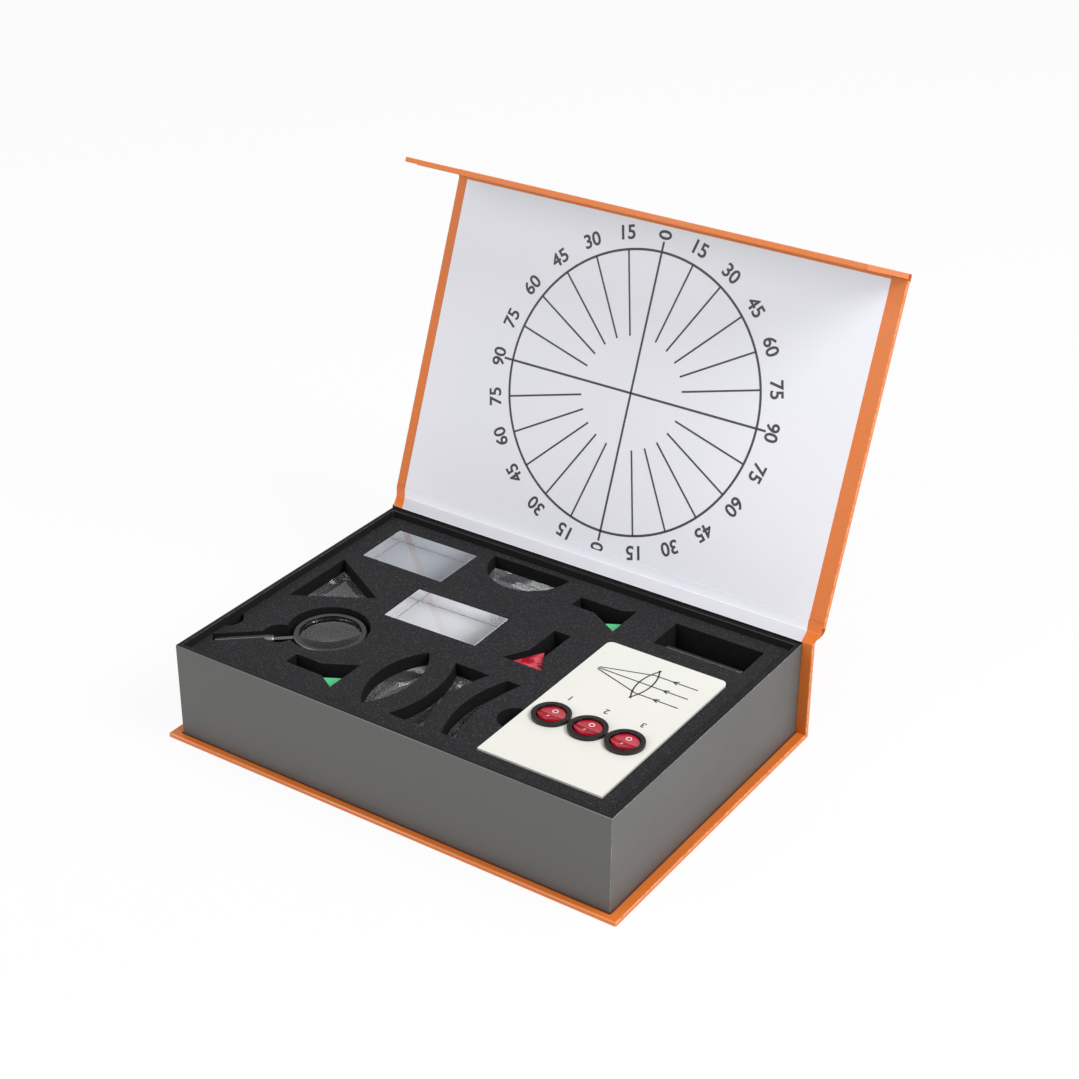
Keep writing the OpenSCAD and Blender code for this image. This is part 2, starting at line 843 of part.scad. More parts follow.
// Round panel switch: a bezel on the top, a body below it and a well for the rocker
module switch_housing(x) {
    color([0.22, 0.22, 0.23])
        in_ray_box()
            translate([x, switch_y, box_h])
                difference() {
                    union() {
                        cylinder(r = bezel_d / 2, h = bezel_t);
                        translate([0, 0, -housing_depth])
                            cylinder(r = housing_r, h = housing_depth + eps);
                    }
                    translate([0, 0, -well_depth]) cylinder(r = well_r, h = well_depth + bezel_t + 1);
                    translate([0, 0, -pin_drop])
                        rotate([0, 90, 0])
                            cylinder(r = rocker_pin_r + pin_gap, h = 2 * pin_reach + 0.4, center = true);
                }
}

module switch_terminals() {
    color([0.8, 0.68, 0.3])
        in_ray_box()
            for (x = switch_x, s = [-1, 1])
                translate([x - 2.4, switch_y + s * terminal_y - terminal_t / 2, terminal_z])
                    cube([4.8, terminal_t, terminal_h]);
}

// Rocker with its two halves sloping up from the middle, pressed down at its back half
module rocker(x) {
    reach = rocker_r + 1;
    lift = rocker_rise + reach * tan(rocker_slope);
    tall = 4 * rocker_r;
    color([0.78, 0.1, 0.12])
        in_ray_box()
            translate([x, switch_y, box_h - pin_drop])
                rotate([-rocker_slope, 0, 0])
                    union() {
                        intersection() {
                            rotate([90, 0, 90])
                                linear_extrude(2 * rocker_r + 2, center = true)
                                    polygon([[-reach, -6.5], [reach, -6.5], [reach, lift],
                                             [0, rocker_rise], [-reach, lift]]);
                            cylinder(r = rocker_r, h = tall, center = true);
                            rotate([0, 90, 0])
                                cylinder(r = rocker_r + 0.3, h = tall, center = true);
                        }
                        rotate([0, 90, 0])
                            cylinder(r = rocker_pin_r, h = 2 * pin_reach, center = true);
                    }
}

// Optical pieces, each standing on the shelf of its pocket

module piece(place, t, z = shelf_z) {
    at(place, z)
        linear_extrude(t) children();
}

module wide_rectangular_block() {
    color([0.75, 0.76, 0.78, 0.7]) piece(wide_block_at, block_t) block_outline(wide_block, 0);
}

module long_rectangular_block() {
    color([0.8, 0.81, 0.82, 0.7]) piece(long_block_at, block_t) block_outline(long_block, 0);
}

module semicircular_block() {
    color([0.7, 0.74, 0.76, 0.6]) piece(semi_at, lens_t) semi_outline(semi_r, 0);
}

module clear_prism() {
    color([0.7, 0.74, 0.76, 0.6]) piece(clear_prism_at, lens_t) prism_outline(prism_side, 0);
}

module small_prism(place, t, tint) {
    color(tint) piece(place, t) prism_outline(small_prism_side, 0);
}

module biconvex_lens() {
    color([0.7, 0.74, 0.76, 0.6]) piece(biconvex_at, lens_t) biconvex_outline(0);
}

module biconcave_lens() {
    color([0.7, 0.74, 0.76, 0.6]) piece(biconcave_at, lens_t) biconcave_outline(0);
}

module curved_lens() {
    color([0.7, 0.74, 0.76, 0.6]) piece(curved_at, lens_t) curved_outline(0);
}

// The mirror stands on edge against the front wall of the deep pocket
mirror_x = store_at.x + store.x / 2 - mirror_len - 1;
mirror_y = store_at.y - store.y / 2 + 0.3;

module plane_mirror_back() {
    color([0.35, 0.37, 0.4])
        translate([mirror_x, mirror_y, deep_z])
            cube([mirror_len, mirror_back_t, mirror_h]);
}

module plane_mirror_glass() {
    color([0.75, 0.85, 0.85, 0.6])
        translate([mirror_x, mirror_y + mirror_back_t, deep_z])
            cube([mirror_len, mirror_glass_t, mirror_h]);
}

// The magnifier lies with its handle along +X from the middle of its ring
handle_z = -handle_sink - handle_d / 2;

module magnifier_place() {
    at(magnifier_at, foam_z)
        translate([0, 0, handle_z]) children();
}

module magnifier_ring() {
    groove_r = ring_r - ring_wall + 1;
    color([0.12, 0.12, 0.13])
        magnifier_place()
            difference() {
                rotate_extrude()
                    polygon([[ring_r - ring_wall, -ring_h / 2], [ring_r - 0.6, -ring_h / 2],
                             [ring_r, -ring_h / 2 + 0.6], [ring_r, ring_h / 2 - 0.6],
                             [ring_r - 0.6, ring_h / 2], [ring_r - ring_wall, ring_h / 2],
                             [ring_r - ring_wall, loupe_edge / 2 + 0.1], [groove_r, loupe_edge / 2 + 0.1],
                             [groove_r, -loupe_edge / 2 - 0.1], [ring_r - ring_wall, -loupe_edge / 2 - 0.1]]);
                translate([ring_r - 1.8, 0, 0])
                    rotate([0, 90, 0]) cylinder(r = neck_d / 2 + 0.05, h = 5);
            }
}

// Two shallow domes back to back, with a rim that sits in the ring's groove
module magnifier_lens() {
    dome = (loupe_t - loupe_edge) / 2;
    open_r = ring_r - ring_wall - 0.3;
    ball = arc_r(2 * open_r, dome);
    color([0.85, 0.9, 0.92, 0.4])
        magnifier_place()
            union() {
                cylinder(r = ring_r - ring_wall + 0.9, h = loupe_edge, center = true);
                for (s = [0, 180])
                    rotate([s, 0, 0])
                        intersection() {
                            translate([0, 0, loupe_edge / 2 + dome - ball]) sphere(r = ball, $fn = 200);
                            translate([0, 0, loupe_edge / 2 - eps]) cylinder(r = open_r - 0.5, h = dome + 1);
                        }
            }
}

module magnifier_neck() {
    color([0.7, 0.7, 0.72])
        magnifier_place()
            translate([ring_r - 1.75, 0, 0])
                rotate([0, 90, 0])
                    cylinder(r = neck_d / 2, h = handle_start + 4 - ring_r + 1.75);
}

module magnifier_handle() {
    length = loupe_reach - handle_start;
    color([0.12, 0.12, 0.13])
        magnifier_place()
            translate([handle_start, 0, 0])
                rotate([0, 90, 0])
                    difference() {
                        rotate_extrude()
                            polygon([[0, 0], [handle_d / 2 - 0.8, 0], [handle_d / 2 - 0.3, 1.2],
                                     [handle_d / 2, 4], [handle_d / 2, length - 0.8],
                                     [handle_d / 2 - 0.8, length], [0, length]]);
                        translate([0, 0, -1]) cylinder(r = neck_d / 2 + 0.05, h = 5.1);
                    }
}

base_board();
spine_board();
tray_shell();
tray_magnets();
foam_top_layer();
foam_mid_layer();
foam_base_pad();
lid_board();
lid_liner();
lid_hinge_strip();
flap_hinge_strip();
flap_board();
flap_liner();
flap_magnets();
ray_box_upper_shell();
ray_box_lower_shell();
aperture_panel();
beam_window();
shell_screws();
barrel_bracket();
beam_barrel(beam_x[0]);  // beam_barrel_1
beam_barrel(beam_x[1]);  // beam_barrel_2
beam_barrel(beam_x[2]);  // beam_barrel_3
line_lens(beam_x[0]);  // line_lens_1
line_lens(beam_x[1]);  // line_lens_2
line_lens(beam_x[2]);  // line_lens_3
driver_board();
board_components();
cell_holder();
battery_cell(-1);  // battery_cell_1
battery_cell(1);  // battery_cell_2
contact_plates();
contact_springs();
battery_door();
door_screw();
wiring();
switch_housing(switch_x[0]);  // switch_housing_1
switch_housing(switch_x[1]);  // switch_housing_2
switch_housing(switch_x[2]);  // switch_housing_3
switch_terminals();
rocker(switch_x[0]);  // rocker_1
rocker(switch_x[1]);  // rocker_2
rocker(switch_x[2]);  // rocker_3
wide_rectangular_block();
long_rectangular_block();
semicircular_block();
clear_prism();
small_prism(green_prism_1_at, small_prism_t, [0.3, 0.8, 0.5]);  // green_prism_1
small_prism(green_prism_2_at, small_prism_t, [0.3, 0.8, 0.5]);  // green_prism_2
small_prism(red_prism_at, red_prism_t, [0.8, 0.15, 0.2]);  // red_prism
biconvex_lens();
biconcave_lens();
curved_lens();
plane_mirror_glass();
plane_mirror_back();
magnifier_ring();
magnifier_lens();
magnifier_neck();
magnifier_handle();
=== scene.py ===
import json
import math

import bmesh
import bpy
from mathutils import Matrix, Vector
from mathutils.geometry import interpolate_bezier


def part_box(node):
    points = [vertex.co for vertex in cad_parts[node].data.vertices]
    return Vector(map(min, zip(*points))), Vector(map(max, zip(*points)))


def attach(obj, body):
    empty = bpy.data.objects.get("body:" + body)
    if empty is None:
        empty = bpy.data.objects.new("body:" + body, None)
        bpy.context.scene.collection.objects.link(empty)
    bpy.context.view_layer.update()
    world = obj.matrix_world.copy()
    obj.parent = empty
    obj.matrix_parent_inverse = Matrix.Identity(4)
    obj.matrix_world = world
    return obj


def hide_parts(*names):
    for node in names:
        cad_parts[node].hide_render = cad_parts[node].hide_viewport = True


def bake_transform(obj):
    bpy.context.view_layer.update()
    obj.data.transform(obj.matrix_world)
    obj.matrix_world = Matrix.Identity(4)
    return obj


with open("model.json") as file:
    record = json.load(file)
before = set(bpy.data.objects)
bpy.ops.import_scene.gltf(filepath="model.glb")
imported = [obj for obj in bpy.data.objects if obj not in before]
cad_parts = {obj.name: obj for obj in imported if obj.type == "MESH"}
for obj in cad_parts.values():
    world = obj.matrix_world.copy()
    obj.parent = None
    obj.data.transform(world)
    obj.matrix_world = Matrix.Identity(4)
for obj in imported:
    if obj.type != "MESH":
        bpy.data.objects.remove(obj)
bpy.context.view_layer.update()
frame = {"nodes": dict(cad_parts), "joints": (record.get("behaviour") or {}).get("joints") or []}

bl_info = {
    "name": "Optics ray box kit",
    "version": (1, 0, 0),
    "blender": (4, 5, 0),
    "location": "3D View > Sidebar > Ray box kit",
    "description": "Dresses the ray box kit: case, foam, ray box, optical pieces and studio",
    "category": "Object",
}

MM = 0.001


def joint_point(name):
    return Vector(next(j["pos_m"] for j in frame["joints"] if j["name"] == name))


def face_place(origin, across, up):
    """Matrix from millimetres on a flat face to metres in the frame."""
    across, up = Vector(across).normalized(), Vector(up).normalized()
    turn = Matrix((across, up, across.cross(up))).transposed().to_4x4()
    return Matrix.Translation(origin) @ turn @ Matrix.Scale(MM, 4)


# Angles of lid and flap as the photograph shows them, in degrees
LID_OPEN = 111.2
FLAP_REST = 2
LID_FOLD = joint_point("lid_hinge")
LID_TURN = Matrix.Rotation(math.radians(-LID_OPEN), 4, "X")
# The flap's fold in the closed lid, in millimetres
FLAP_FOLD = Vector((0, -106.7, 66.0))
# The liner's printed face, which lies 1.7 mm behind the lid's fold
LINER_PRINT = face_place(LID_FOLD - LID_TURN @ Vector((0, 0, -1.7 * MM)), (1, 0, 0),
                         LID_TURN @ Vector((0, -1, 0)))
# Thickness of a print and its gap to what it is printed on, in millimetres
INK = 0.05
INK_GAP = 0.03
# Half of the case's width and of the width that its creases have, in millimetres
CASE_HALF = 157.0
CREASE_HALF = CASE_HALF - 0.6


def linear(hex_colour):
    """sRGB hex to the linear colour that shaders take."""
    parts = [int(hex_colour[i:i + 2], 16) / 255 for i in (1, 3, 5)]
    return tuple(c / 12.92 if c <= 0.04045 else ((c + 0.055) / 1.055) ** 2.4 for c in parts)


def colour(name, text, hex_colour):
    return bpy.props.FloatVectorProperty(name=name, description=text, subtype="COLOR", size=3,
                                         min=0, max=1, default=linear(hex_colour))


def length(name, text, mm):
    return bpy.props.FloatProperty(name=name, description=text, subtype="DISTANCE", unit="LENGTH",
                                   min=0, default=mm * MM)


class KitSizes(bpy.types.PropertyGroup):
    board_edge: length("Board edge", "Rounding of the paper covered boards", 0.7)
    tray_edge: length("Tray edge", "Rounding of the tray's rim and corners", 0.55)
    liner_edge: length("Liner edge", "Rounding of the printed liner", 0.12)
    foam_edge: length("Foam edge", "Rounding of the die cut foam", 0.35)
    shell_edge: length("Shell edge", "Rounding of the ray box shells", 0.8)
    bezel_edge: length("Bezel edge", "Rounding of the switch bezels", 0.6)
    rocker_edge: length("Rocker edge", "Rounding of the rockers", 0.5)
    block_edge: length("Block edge", "Polished bevel of the acrylic blocks", 0.35)
    paper: length("Paper thickness", "Thickness of the wrap at a crease", 0.3)
    disc_radius: length("Disc radius", "Radius of the printed angle disc", 87.5)
    disc_height: length("Disc height", "Height of the disc's middle above the lid's fold", 111.5)
    figure_height: length("Figure height", "Height of the disc's numbers", 8.89)


class KitColours(bpy.types.PropertyGroup):
    wrap: colour("Wrap", "Orange paper of the case", "#de7528")
    wrap_worn: colour("Worn wrap", "Orange paper at its rubbed edges", "#efa67a")
    liner: colour("Liner", "White art paper", "#e9e9ee")
    ink: colour("Ink", "Printed lines and numbers", "#242427")
    tray: colour("Tray", "Dark paper of the tray", "#5a5a58")
    tray_worn: colour("Worn tray", "Tray paper at its rubbed edges", "#8f8d8a")
    # The lining's black also serves as painted shade at the tray's foot and behind the tray
    lining: colour("Lining", "Black paper inside the tray and on its rim", "#1c1c1d")
    # Paler specks painted into the foam as glints
    foam: colour("Foam", "Black foam", "#252527")
    foam_cell: colour("Foam cells", "Cut cells that catch the light", "#57575a")
    shell: colour("Shell", "White plastic of the ray box", "#e8e8e1")
    bezel: colour("Bezel", "Black plastic of the switch bezels", "#151716")
    rocker: colour("Rocker", "Red plastic of the rockers", "#cf1530")
    green: colour("Green acrylic", "Green pieces", "#7df7b0")
    red: colour("Red acrylic", "Red piece", "#e0304f")


def sizes():
    return bpy.context.scene.ray_kit_sizes


def tint(name):
    kit = bpy.context.scene.ray_kit_colours
    return (*(linear(name) if name.startswith("#") else getattr(kit, name)), 1)


def toned(shade, share):
    """A darker or paler tone of a colour."""
    return (*(c * share for c in shade[:3]), 1)


def per_metre(size_mm):
    """How often a pattern of this size fits in a metre, which is what a Scale socket takes."""
    return 1 / (size_mm * MM)


# Materials

def add_node(material, kind, values=None, links=None, **settings):
    """Adds a node: settings are its properties, values its sockets' numbers, links their sources.

    A source is a socket, or a node that gives its first output.
    """
    made = material.node_tree.nodes.new("ShaderNode" + kind)
    for name, value in settings.items():
        setattr(made, name, value)
    for name, value in (values or {}).items():
        made.inputs[name].default_value = value
    for name, source in (links or {}).items():
        socket = source.outputs[0] if isinstance(source, bpy.types.Node) else source
        material.node_tree.links.new(socket, made.inputs[name])
    return made


def finish(maker):
    """The material that a maker function builds, made once and named after it."""
    found = bpy.data.materials.get(maker.__name__)
    if found:
        return found
    material = bpy.data.materials.new(maker.__name__)
    material.use_nodes = True
    material.node_tree.nodes.clear()
    add_node(material, "OutputMaterial", links={"Surface": maker(material)})
    return material


def two_tones(material, base, other, size_mm, detail=2):
    """Two tones that drift into each other, and the pattern that mixes them."""
    place = add_node(material, "TexCoord").outputs["Object"]
    pattern = add_node(material, "TexNoise", {"Scale": per_metre(size_mm), "Detail": detail},
                       {"Vector": place})
    tone = add_node(material, "Mix", {6: base, 7: other}, {0: pattern}, data_type="RGBA")
    return tone.outputs[2], pattern


def drawn_lines(material, sizes_mm, detail=3):
    """A pattern pulled out along an axis, as rubbing, sawing or drawing leaves it."""
    place = add_node(material, "TexCoord").outputs["Object"]
    pulled = add_node(material, "Mapping", {"Scale": [per_metre(size) for size in sizes_mm]},
                      {"Vector": place})
    return add_node(material, "TexNoise", {"Scale": 1, "Detail": detail}, {"Vector": pulled})


def surface(material, values, links, height, strength, depth_mm):
    """The shader of a surface, with a pattern as its relief."""
    bump = add_node(material, "Bump", {"Strength": strength, "Distance": depth_mm * MM},
                    {"Height": height})
    return add_node(material, "BsdfPrincipled", values, {**links, "Normal": bump})


def seen_directly(material):
    """1 where the camera, a gloss or a clear piece looks, and 0 where light is only gathered."""
    rays = add_node(material, "LightPath").outputs
    plain = add_node(material, "Math", None,
                     {0: rays["Is Camera Ray"], 1: rays["Is Glossy Ray"]}, operation="MAXIMUM")
    return add_node(material, "Math", None, {0: plain, 1: rays["Is Transmission Ray"]},
                    operation="MAXIMUM")


def paper(material, base, worn, grain_mm, rough, shine=0.5):
    """Paper over board: clouded tone, fine grain, and rubbed edges that show paler."""
    tone, cloud = two_tones(material, toned(base, 0.86), base, 45.45, 3)
    place = add_node(material, "TexCoord").outputs["Object"]
    grain = add_node(material, "TexNoise", {"Scale": per_metre(grain_mm), "Detail": 4},
                     {"Vector": place})
    speck = add_node(material, "MapRange",
                     {"From Min": 0.35, "From Max": 0.65, "To Min": 0.93, "To Max": 1.07},
                     {"Value": grain})
    grained = add_node(material, "VectorMath", None, {0: tone, "Scale": speck}, operation="SCALE")
    rubbed = add_node(material, "Attribute", attribute_name="worn")
    patch = add_node(material, "MapRange",
                     {"From Min": 0.4, "From Max": 0.62, "To Min": 0.15, "To Max": 0.8},
                     {"Value": drawn_lines(material, (111.1, 2.381, 2.381))})
    amount = add_node(material, "Math", None, {0: rubbed.outputs["Fac"], 1: patch},
                      operation="MULTIPLY")
    coloured = add_node(material, "Mix", {7: worn}, {0: amount, 6: grained}, data_type="RGBA")
    gloss = add_node(material, "MapRange",
                     {"From Min": 0.3, "From Max": 0.7, "To Min": rough - 0.07,
                      "To Max": rough + 0.07}, {"Value": cloud})
    return surface(material, {"IOR": 1.5, "Specular IOR Level": shine},
                   {"Base Color": coloured.outputs[2], "Roughness": gloss}, grain, 0.35, 0.06)


def coated_wrap_paper(material):
    # Printed and laminated paper: satin, with paler rubbed edges
    return paper(material, tint("wrap"), tint("wrap_worn"), 0.7, 0.42)


def tray_wrap_paper(material):
    # Uncoated dark paper: dull, with grey scuffs along the rim and the corners
    return paper(material, tint("tray"), tint("tray_worn"), 0.9, 0.52)


def tray_lining_paper(material):
    # Black uncoated paper, pasted in: dead dull, with a faint cloud. The same black is also painted
    # shade at the tray's foot and on the spine behind the tray
    return paper(material, tint("lining"), tint("tray"), 0.9, 0.7, shine=0.15)


def bone_glue(material):
    # Painted contact shadow where the tray stands on the base board: a thin dark brown line, laid
    # like glue squeezed out under the tray
    return moulded(material, tint("#5b2d17"), 0.6, 0.5, 0.05)


def white_art_paper(material):
    # Coated art paper: smooth and bright, with a slight wave from the glue. Its fibres are
    # finer than a pixel, so they are drawn 0.7 mm wide
    base = tint("liner")
    cool = (base[0] * 0.95, base[1] * 0.96, base[2] * 0.99, 1)
    tone, wave = two_tones(material, base, cool, 71.43)
    place = add_node(material, "TexCoord").outputs["Object"]
    fibre = add_node(material, "TexNoise", {"Scale": per_metre(0.7143), "Detail": 3},
                     {"Vector": place})
    height = add_node(material, "Math", {1: 0.06}, {0: fibre, 2: wave}, operation="MULTIPLY_ADD")
    return surface(material, {"Roughness": 0.38, "IOR": 1.5}, {"Base Color": tone}, height,
                   0.25, 0.6)


def creased_art_paper(material):
    # The same paper where the crease faces up, made a little greyer: painted shade to hold back the
    # light that falls on it
    return moulded(material, tint("#cfcfd5"), 0.6, 0.8, 0.05)


def printing_ink(material):
    # Offset ink on coated paper: even and slightly satin, a little thin in places
    base = tint("ink")
    tone, _ = two_tones(material, base, toned(base, 1.5), 1.111)
    return add_node(material, "BsdfPrincipled", {"Roughness": 0.42, "IOR": 1.5},
                    {"Base Color": tone})


def die_cut_foam(material):
    # Closed cell polyethylene foam: dead dull, pitted by cells of about 1 mm, with paler specks
    # painted in as glints
    base = tint("foam")
    body, _ = two_tones(material, base, toned(base, 0.7), 33.33)
    place = add_node(material, "TexCoord").outputs["Object"]
    cells = add_node(material, "TexVoronoi", {"Scale": per_metre(1.053)}, {"Vector": place})
    spread = add_node(material, "TexNoise", {"Scale": per_metre(0.7692), "Detail": 2},
                      {"Vector": place})
    # Painted glints: paler specks mixed into the foam's colour
    painted_glint = add_node(material, "MapRange",
                     {"From Min": 0.58, "From Max": 0.74, "To Min": 0, "To Max": 0.9},
                     {"Value": spread})
    tone = add_node(material, "Mix", {7: tint("foam_cell")}, {0: painted_glint, 6: body},
                    data_type="RGBA")
    return surface(material, {"Roughness": 0.95, "IOR": 1.45, "Specular IOR Level": 0.25},
                   {"Base Color": tone.outputs[2]}, cells.outputs["Distance"], 0.8, 0.4)


def knife_cut_foam(material):
    # The same foam where the steel rule cut it, on the pocket walls: blacker, partly for its cells
    # dragged shut and partly as painted shade in the pockets
    base = toned(tint("foam"), 0.7)
    cut = drawn_lines(material, (1.111, 1.111, 6.25))
    tone = add_node(material, "Mix", {6: toned(base, 0.4), 7: base}, {0: cut}, data_type="RGBA")
    return surface(material, {"Roughness": 1, "IOR": 1.45, "Specular IOR Level": 0.15},
                   {"Base Color": tone.outputs[2]}, cut, 0.5, 0.3)


def moulded(material, base, rough, texture_mm, depth_mm, shine=0.5):
    """Injection moulded plastic: an even colour, a fine spark eroded texture and soft gloss."""
    tone, _ = two_tones(material, base, toned(base, 0.92), 28.57)
    place = add_node(material, "TexCoord").outputs["Object"]
    skin = add_node(material, "TexNoise", {"Scale": per_metre(texture_mm), "Detail": 3},
                    {"Vector": place})
    gloss = add_node(material, "MapRange",
                     {"From Min": 0.3, "From Max": 0.7, "To Min": rough - 0.05,
                      "To Max": rough + 0.05}, {"Value": skin})
    return surface(material, {"IOR": 1.53, "Specular IOR Level": shine},
                   {"Base Color": tone, "Roughness": gloss}, skin, 0.3, depth_mm)


def moulded_white_abs(material):
    # ABS with a fine matt texture: warm white with a soft broad shine
    return moulded(material, tint("shell"), 0.34, 0.8, 0.03)


def moulded_black_nylon(material):
    # Black nylon: smooth, with a fairly sharp highlight
    return moulded(material, tint("bezel"), 0.26, 0.7, 0.015, shine=0.35)


def black_lacquer(material):
    # Black lacquer over turned brass: deep black under a hard coat with thin sharp highlights
    tone, flow = two_tones(material, tint("#101112"), tint("#1b1d1f"), 2.5)
    return surface(material,
                   {"Roughness": 0.35, "IOR": 1.5, "Specular IOR Level": 0.25, "Coat Weight": 0.15,
                    "Coat Roughness": 0.1, "Coat IOR": 1.5}, {"Base Color": tone}, flow, 0.1, 0.03)


def rubbed_brass_edge(material):
    # Turned edges of ring and handle with a painted highlight: the up-facing rounding takes light
    # bare metal, a thin light line, as if the lacquer were rubbed through
    return metal(material, tint("#747371"), 0.35, 0.3)


def blackened_steel(material):
    # Steel wire, chemically blackened: dark grey with a metal gleam
    return metal(material, tint("#6a6a6e"), 0.28, 0.2)


def dull_black_abs(material):
    # Black ABS of the inside pieces: matt, seldom seen
    return moulded(material, tint("#2a2b2c"), 0.5, 0.6, 0.03)


def white_door_abs(material):
    # Same ABS as the shells, a touch yellower
    return moulded(material, tint("#ebebe2"), 0.4, 0.8, 0.03)


def red_rocker_polycarbonate(material):
    # Tinted polycarbonate: deep red, glossy, and light goes a little way in
    base = tint("rocker")
    tone, flow = two_tones(material, base, toned(base, 0.72), 6.25)
    return surface(material,
                   {"Roughness": 0.16, "IOR": 1.58, "Coat Weight": 0.4, "Coat Roughness": 0.08,
                    "Transmission Weight": 0.12}, {"Base Color": tone}, flow, 0.1, 0.05)


def white_pad_print(material):
    # Pad printed marks on the rockers: dense white, slightly raised
    return moulded(material, tint("#f1ecec"), 0.45, 0.4, 0.01)


def acrylic(material, base, clear, rough, ior=1.49, shine=0.5, mirror=1.0, marked=0.08):
    """A clear or tinted piece: polished, with faint saw and handling marks.

    shine is its specular level, mirror the grey of its reflections and marked the marks' relief.
    """
    marks = drawn_lines(material, (1.429, 22.22, 3.333))
    haze = add_node(material, "MapRange",
                    {"From Min": 0.45, "From Max": 0.75, "To Min": rough, "To Max": rough + 0.09},
                    {"Value": marks})
    return surface(material,
                   {"Base Color": base, "IOR": ior, "Transmission Weight": clear,
                    "Specular IOR Level": shine, "Specular Tint": (mirror, mirror, mirror, 1)},
                   {"Roughness": haze}, marks, marked, 0.03)


def polished_clear_acrylic(material):
    # Cast acrylic: mirror-like faces, dark where black foam shows through
    return acrylic(material, tint("#f4f7f8"), 0.96, 0.02, shine=0.35)


def moulded_lens_acrylic(material):
    # Clear acrylic prism and lenses, moulded smooth: dark over the foam, with soft light streaks
    return acrylic(material, tint("#eef2f4"), 0.97, 0.03, shine=0.35, mirror=0.35, marked=0)


def ground_acrylic(material):
    # Underside ground with grit: white and dull, it lights the block from below
    tone, _ = two_tones(material, tint("#f2f3f6"), tint("#d9dbe2"), 40)
    place = add_node(material, "TexCoord").outputs["Object"]
    grit = add_node(material, "TexNoise", {"Scale": per_metre(0.6667), "Detail": 4},
                    {"Vector": place})
    return surface(material, {"Roughness": 0.8, "IOR": 1.49}, {"Base Color": tone}, grit, 0.5, 0.1)


def sawn_acrylic(material):
    # Underside of the wide block: bluish grey, darker than the long block's, so the wide block
    # reads darker than the long one
    return moulded(material, tint("#b3b8c2"), 0.8, 0.6, 0.1)


def fluorescent_green_acrylic(material):
    # Green acrylic with a bright dye: glows at its face, dark at its sides
    return acrylic(material, tint("green"), 0.15, 0.04, shine=0.3)


def faceted_red_acrylic(material):
    # Red acrylic with painted reflections: cells of about 4 mm each take their own tone between
    # dark red and pink, standing in for the light inside the prism
    shader = acrylic(material, tint("red"), 0.1, 0.03, shine=0.12)
    place = add_node(material, "TexCoord").outputs["Object"]
    reflection_cells = add_node(material, "TexVoronoi", {"Scale": per_metre(4.348)}, {"Vector": place})
    pick = add_node(material, "SeparateColor", None, {0: reflection_cells.outputs["Color"]})
    spread = add_node(material, "MapRange", {"From Min": 0.25, "From Max": 0.95}, {"Value": pick})
    tone = add_node(material, "Mix", {6: tint("#ac142c"), 7: tint("#e05562")}, {0: spread},
                    data_type="RGBA")
    material.node_tree.links.new(tone.outputs[2], shader.inputs["Base Color"])
    return shader


def metal(material, base, rough, line_mm, turned=False):
    """Bare metal with the fine lines of its drawing or turning."""
    tone, _ = two_tones(material, base, toned(base, 0.75), 5.556, 3)
    long_mm = 33.33
    lines = drawn_lines(material, (line_mm, long_mm, line_mm) if turned
                        else (long_mm, line_mm, line_mm), 4)
    gloss = add_node(material, "MapRange",
                     {"From Min": 0.3, "From Max": 0.7, "To Min": rough - 0.08,
                      "To Max": rough + 0.08}, {"Value": lines})
    return surface(material, {"Metallic": 1}, {"Base Color": tone, "Roughness": gloss}, lines,
                   0.15, 0.03)


def plated_nickel(material):
    # Nickel plate: warm grey, bright
    return metal(material, tint("#c9c5bc"), 0.22, 0.3)


def zinc_plated_steel(material):
    # Zinc plated steel screws: bluish grey, half bright
    return metal(material, tint("#b4b8bc"), 0.34, 0.3)


def turned_brass(material):
    # Turned brass barrels: yellow with fine rings
    return metal(material, tint("#d0a95a"), 0.28, 0.25, turned=True)


def stamped_brass(material):
    # Stamped brass terminals: yellow, duller
    return metal(material, tint("#c9a355"), 0.38, 0.3)


def circuit_laminate(material):
    # Green solder mask over copper tracks that stand as paler lines
    place = add_node(material, "TexCoord").outputs["Object"]
    tracks = add_node(material, "TexBrick",
                      {"Scale": per_metre(3.846), "Mortar Size": 0.06, "Color1": tint("#14603a"),
                       "Color2": tint("#17683f"), "Mortar": tint("#3b9a62")}, {"Vector": place})
    return surface(material, {"Roughness": 0.3, "IOR": 1.5},
                   {"Base Color": tracks.outputs["Color"]}, tracks.outputs["Fac"], 0.3, 0.05)


def printed_cell_sleeve(material):
    # Shrink sleeve of a cell: red film, glossy, with a dark band at one end
    place = add_node(material, "TexCoord").outputs["Object"]
    along = add_node(material, "SeparateXYZ", None, {0: place})
    band = add_node(material, "MapRange", {"From Min": 9 * MM, "From Max": 9.1 * MM},
                    {"Value": along.outputs["Y"]})
    tone = add_node(material, "Mix", {6: tint("#a8281c"), 7: tint("#2c2b2b")}, {0: band},
                    data_type="RGBA")
    creases = add_node(material, "TexNoise", {"Scale": per_metre(2), "Detail": 3},
                       {"Vector": place})
    return surface(material, {"Roughness": 0.25, "IOR": 1.5}, {"Base Color": tone.outputs[2]},
                   creases, 0.15, 0.1)


def wire_pvc(material):
    # Soft PVC wire cover: red, satin
    return moulded(material, tint("#b3201f"), 0.42, 0.5, 0.02)


def float_glass(material):
    # Mirror glass: clear with the green of its edge
    return acrylic(material, tint("#d8ebe4"), 0.8, 0.03, 1.52)


def ground_glass_edge(material):
    # Glass edge ground dull: grey green, darker than the faces
    return moulded(material, tint("#1f2423"), 0.6, 0.4, 0.02, shine=0.2)


def brushed_mirror_paint(material):
    # Grey paint over the silvering, brushed on and dull
    return moulded(material, tint("#6d7176"), 0.6, 0.9, 0.05)


def polished_lens_glass(material):
    # Polished lens, coated against glare: colourless glass, tinted grey here as painted shade, so
    # it reads mostly dark over the foam
    return acrylic(material, tint("#c3c8ca"), 1, 0.01, 1.52, shine=0.2, mirror=0.25, marked=0)


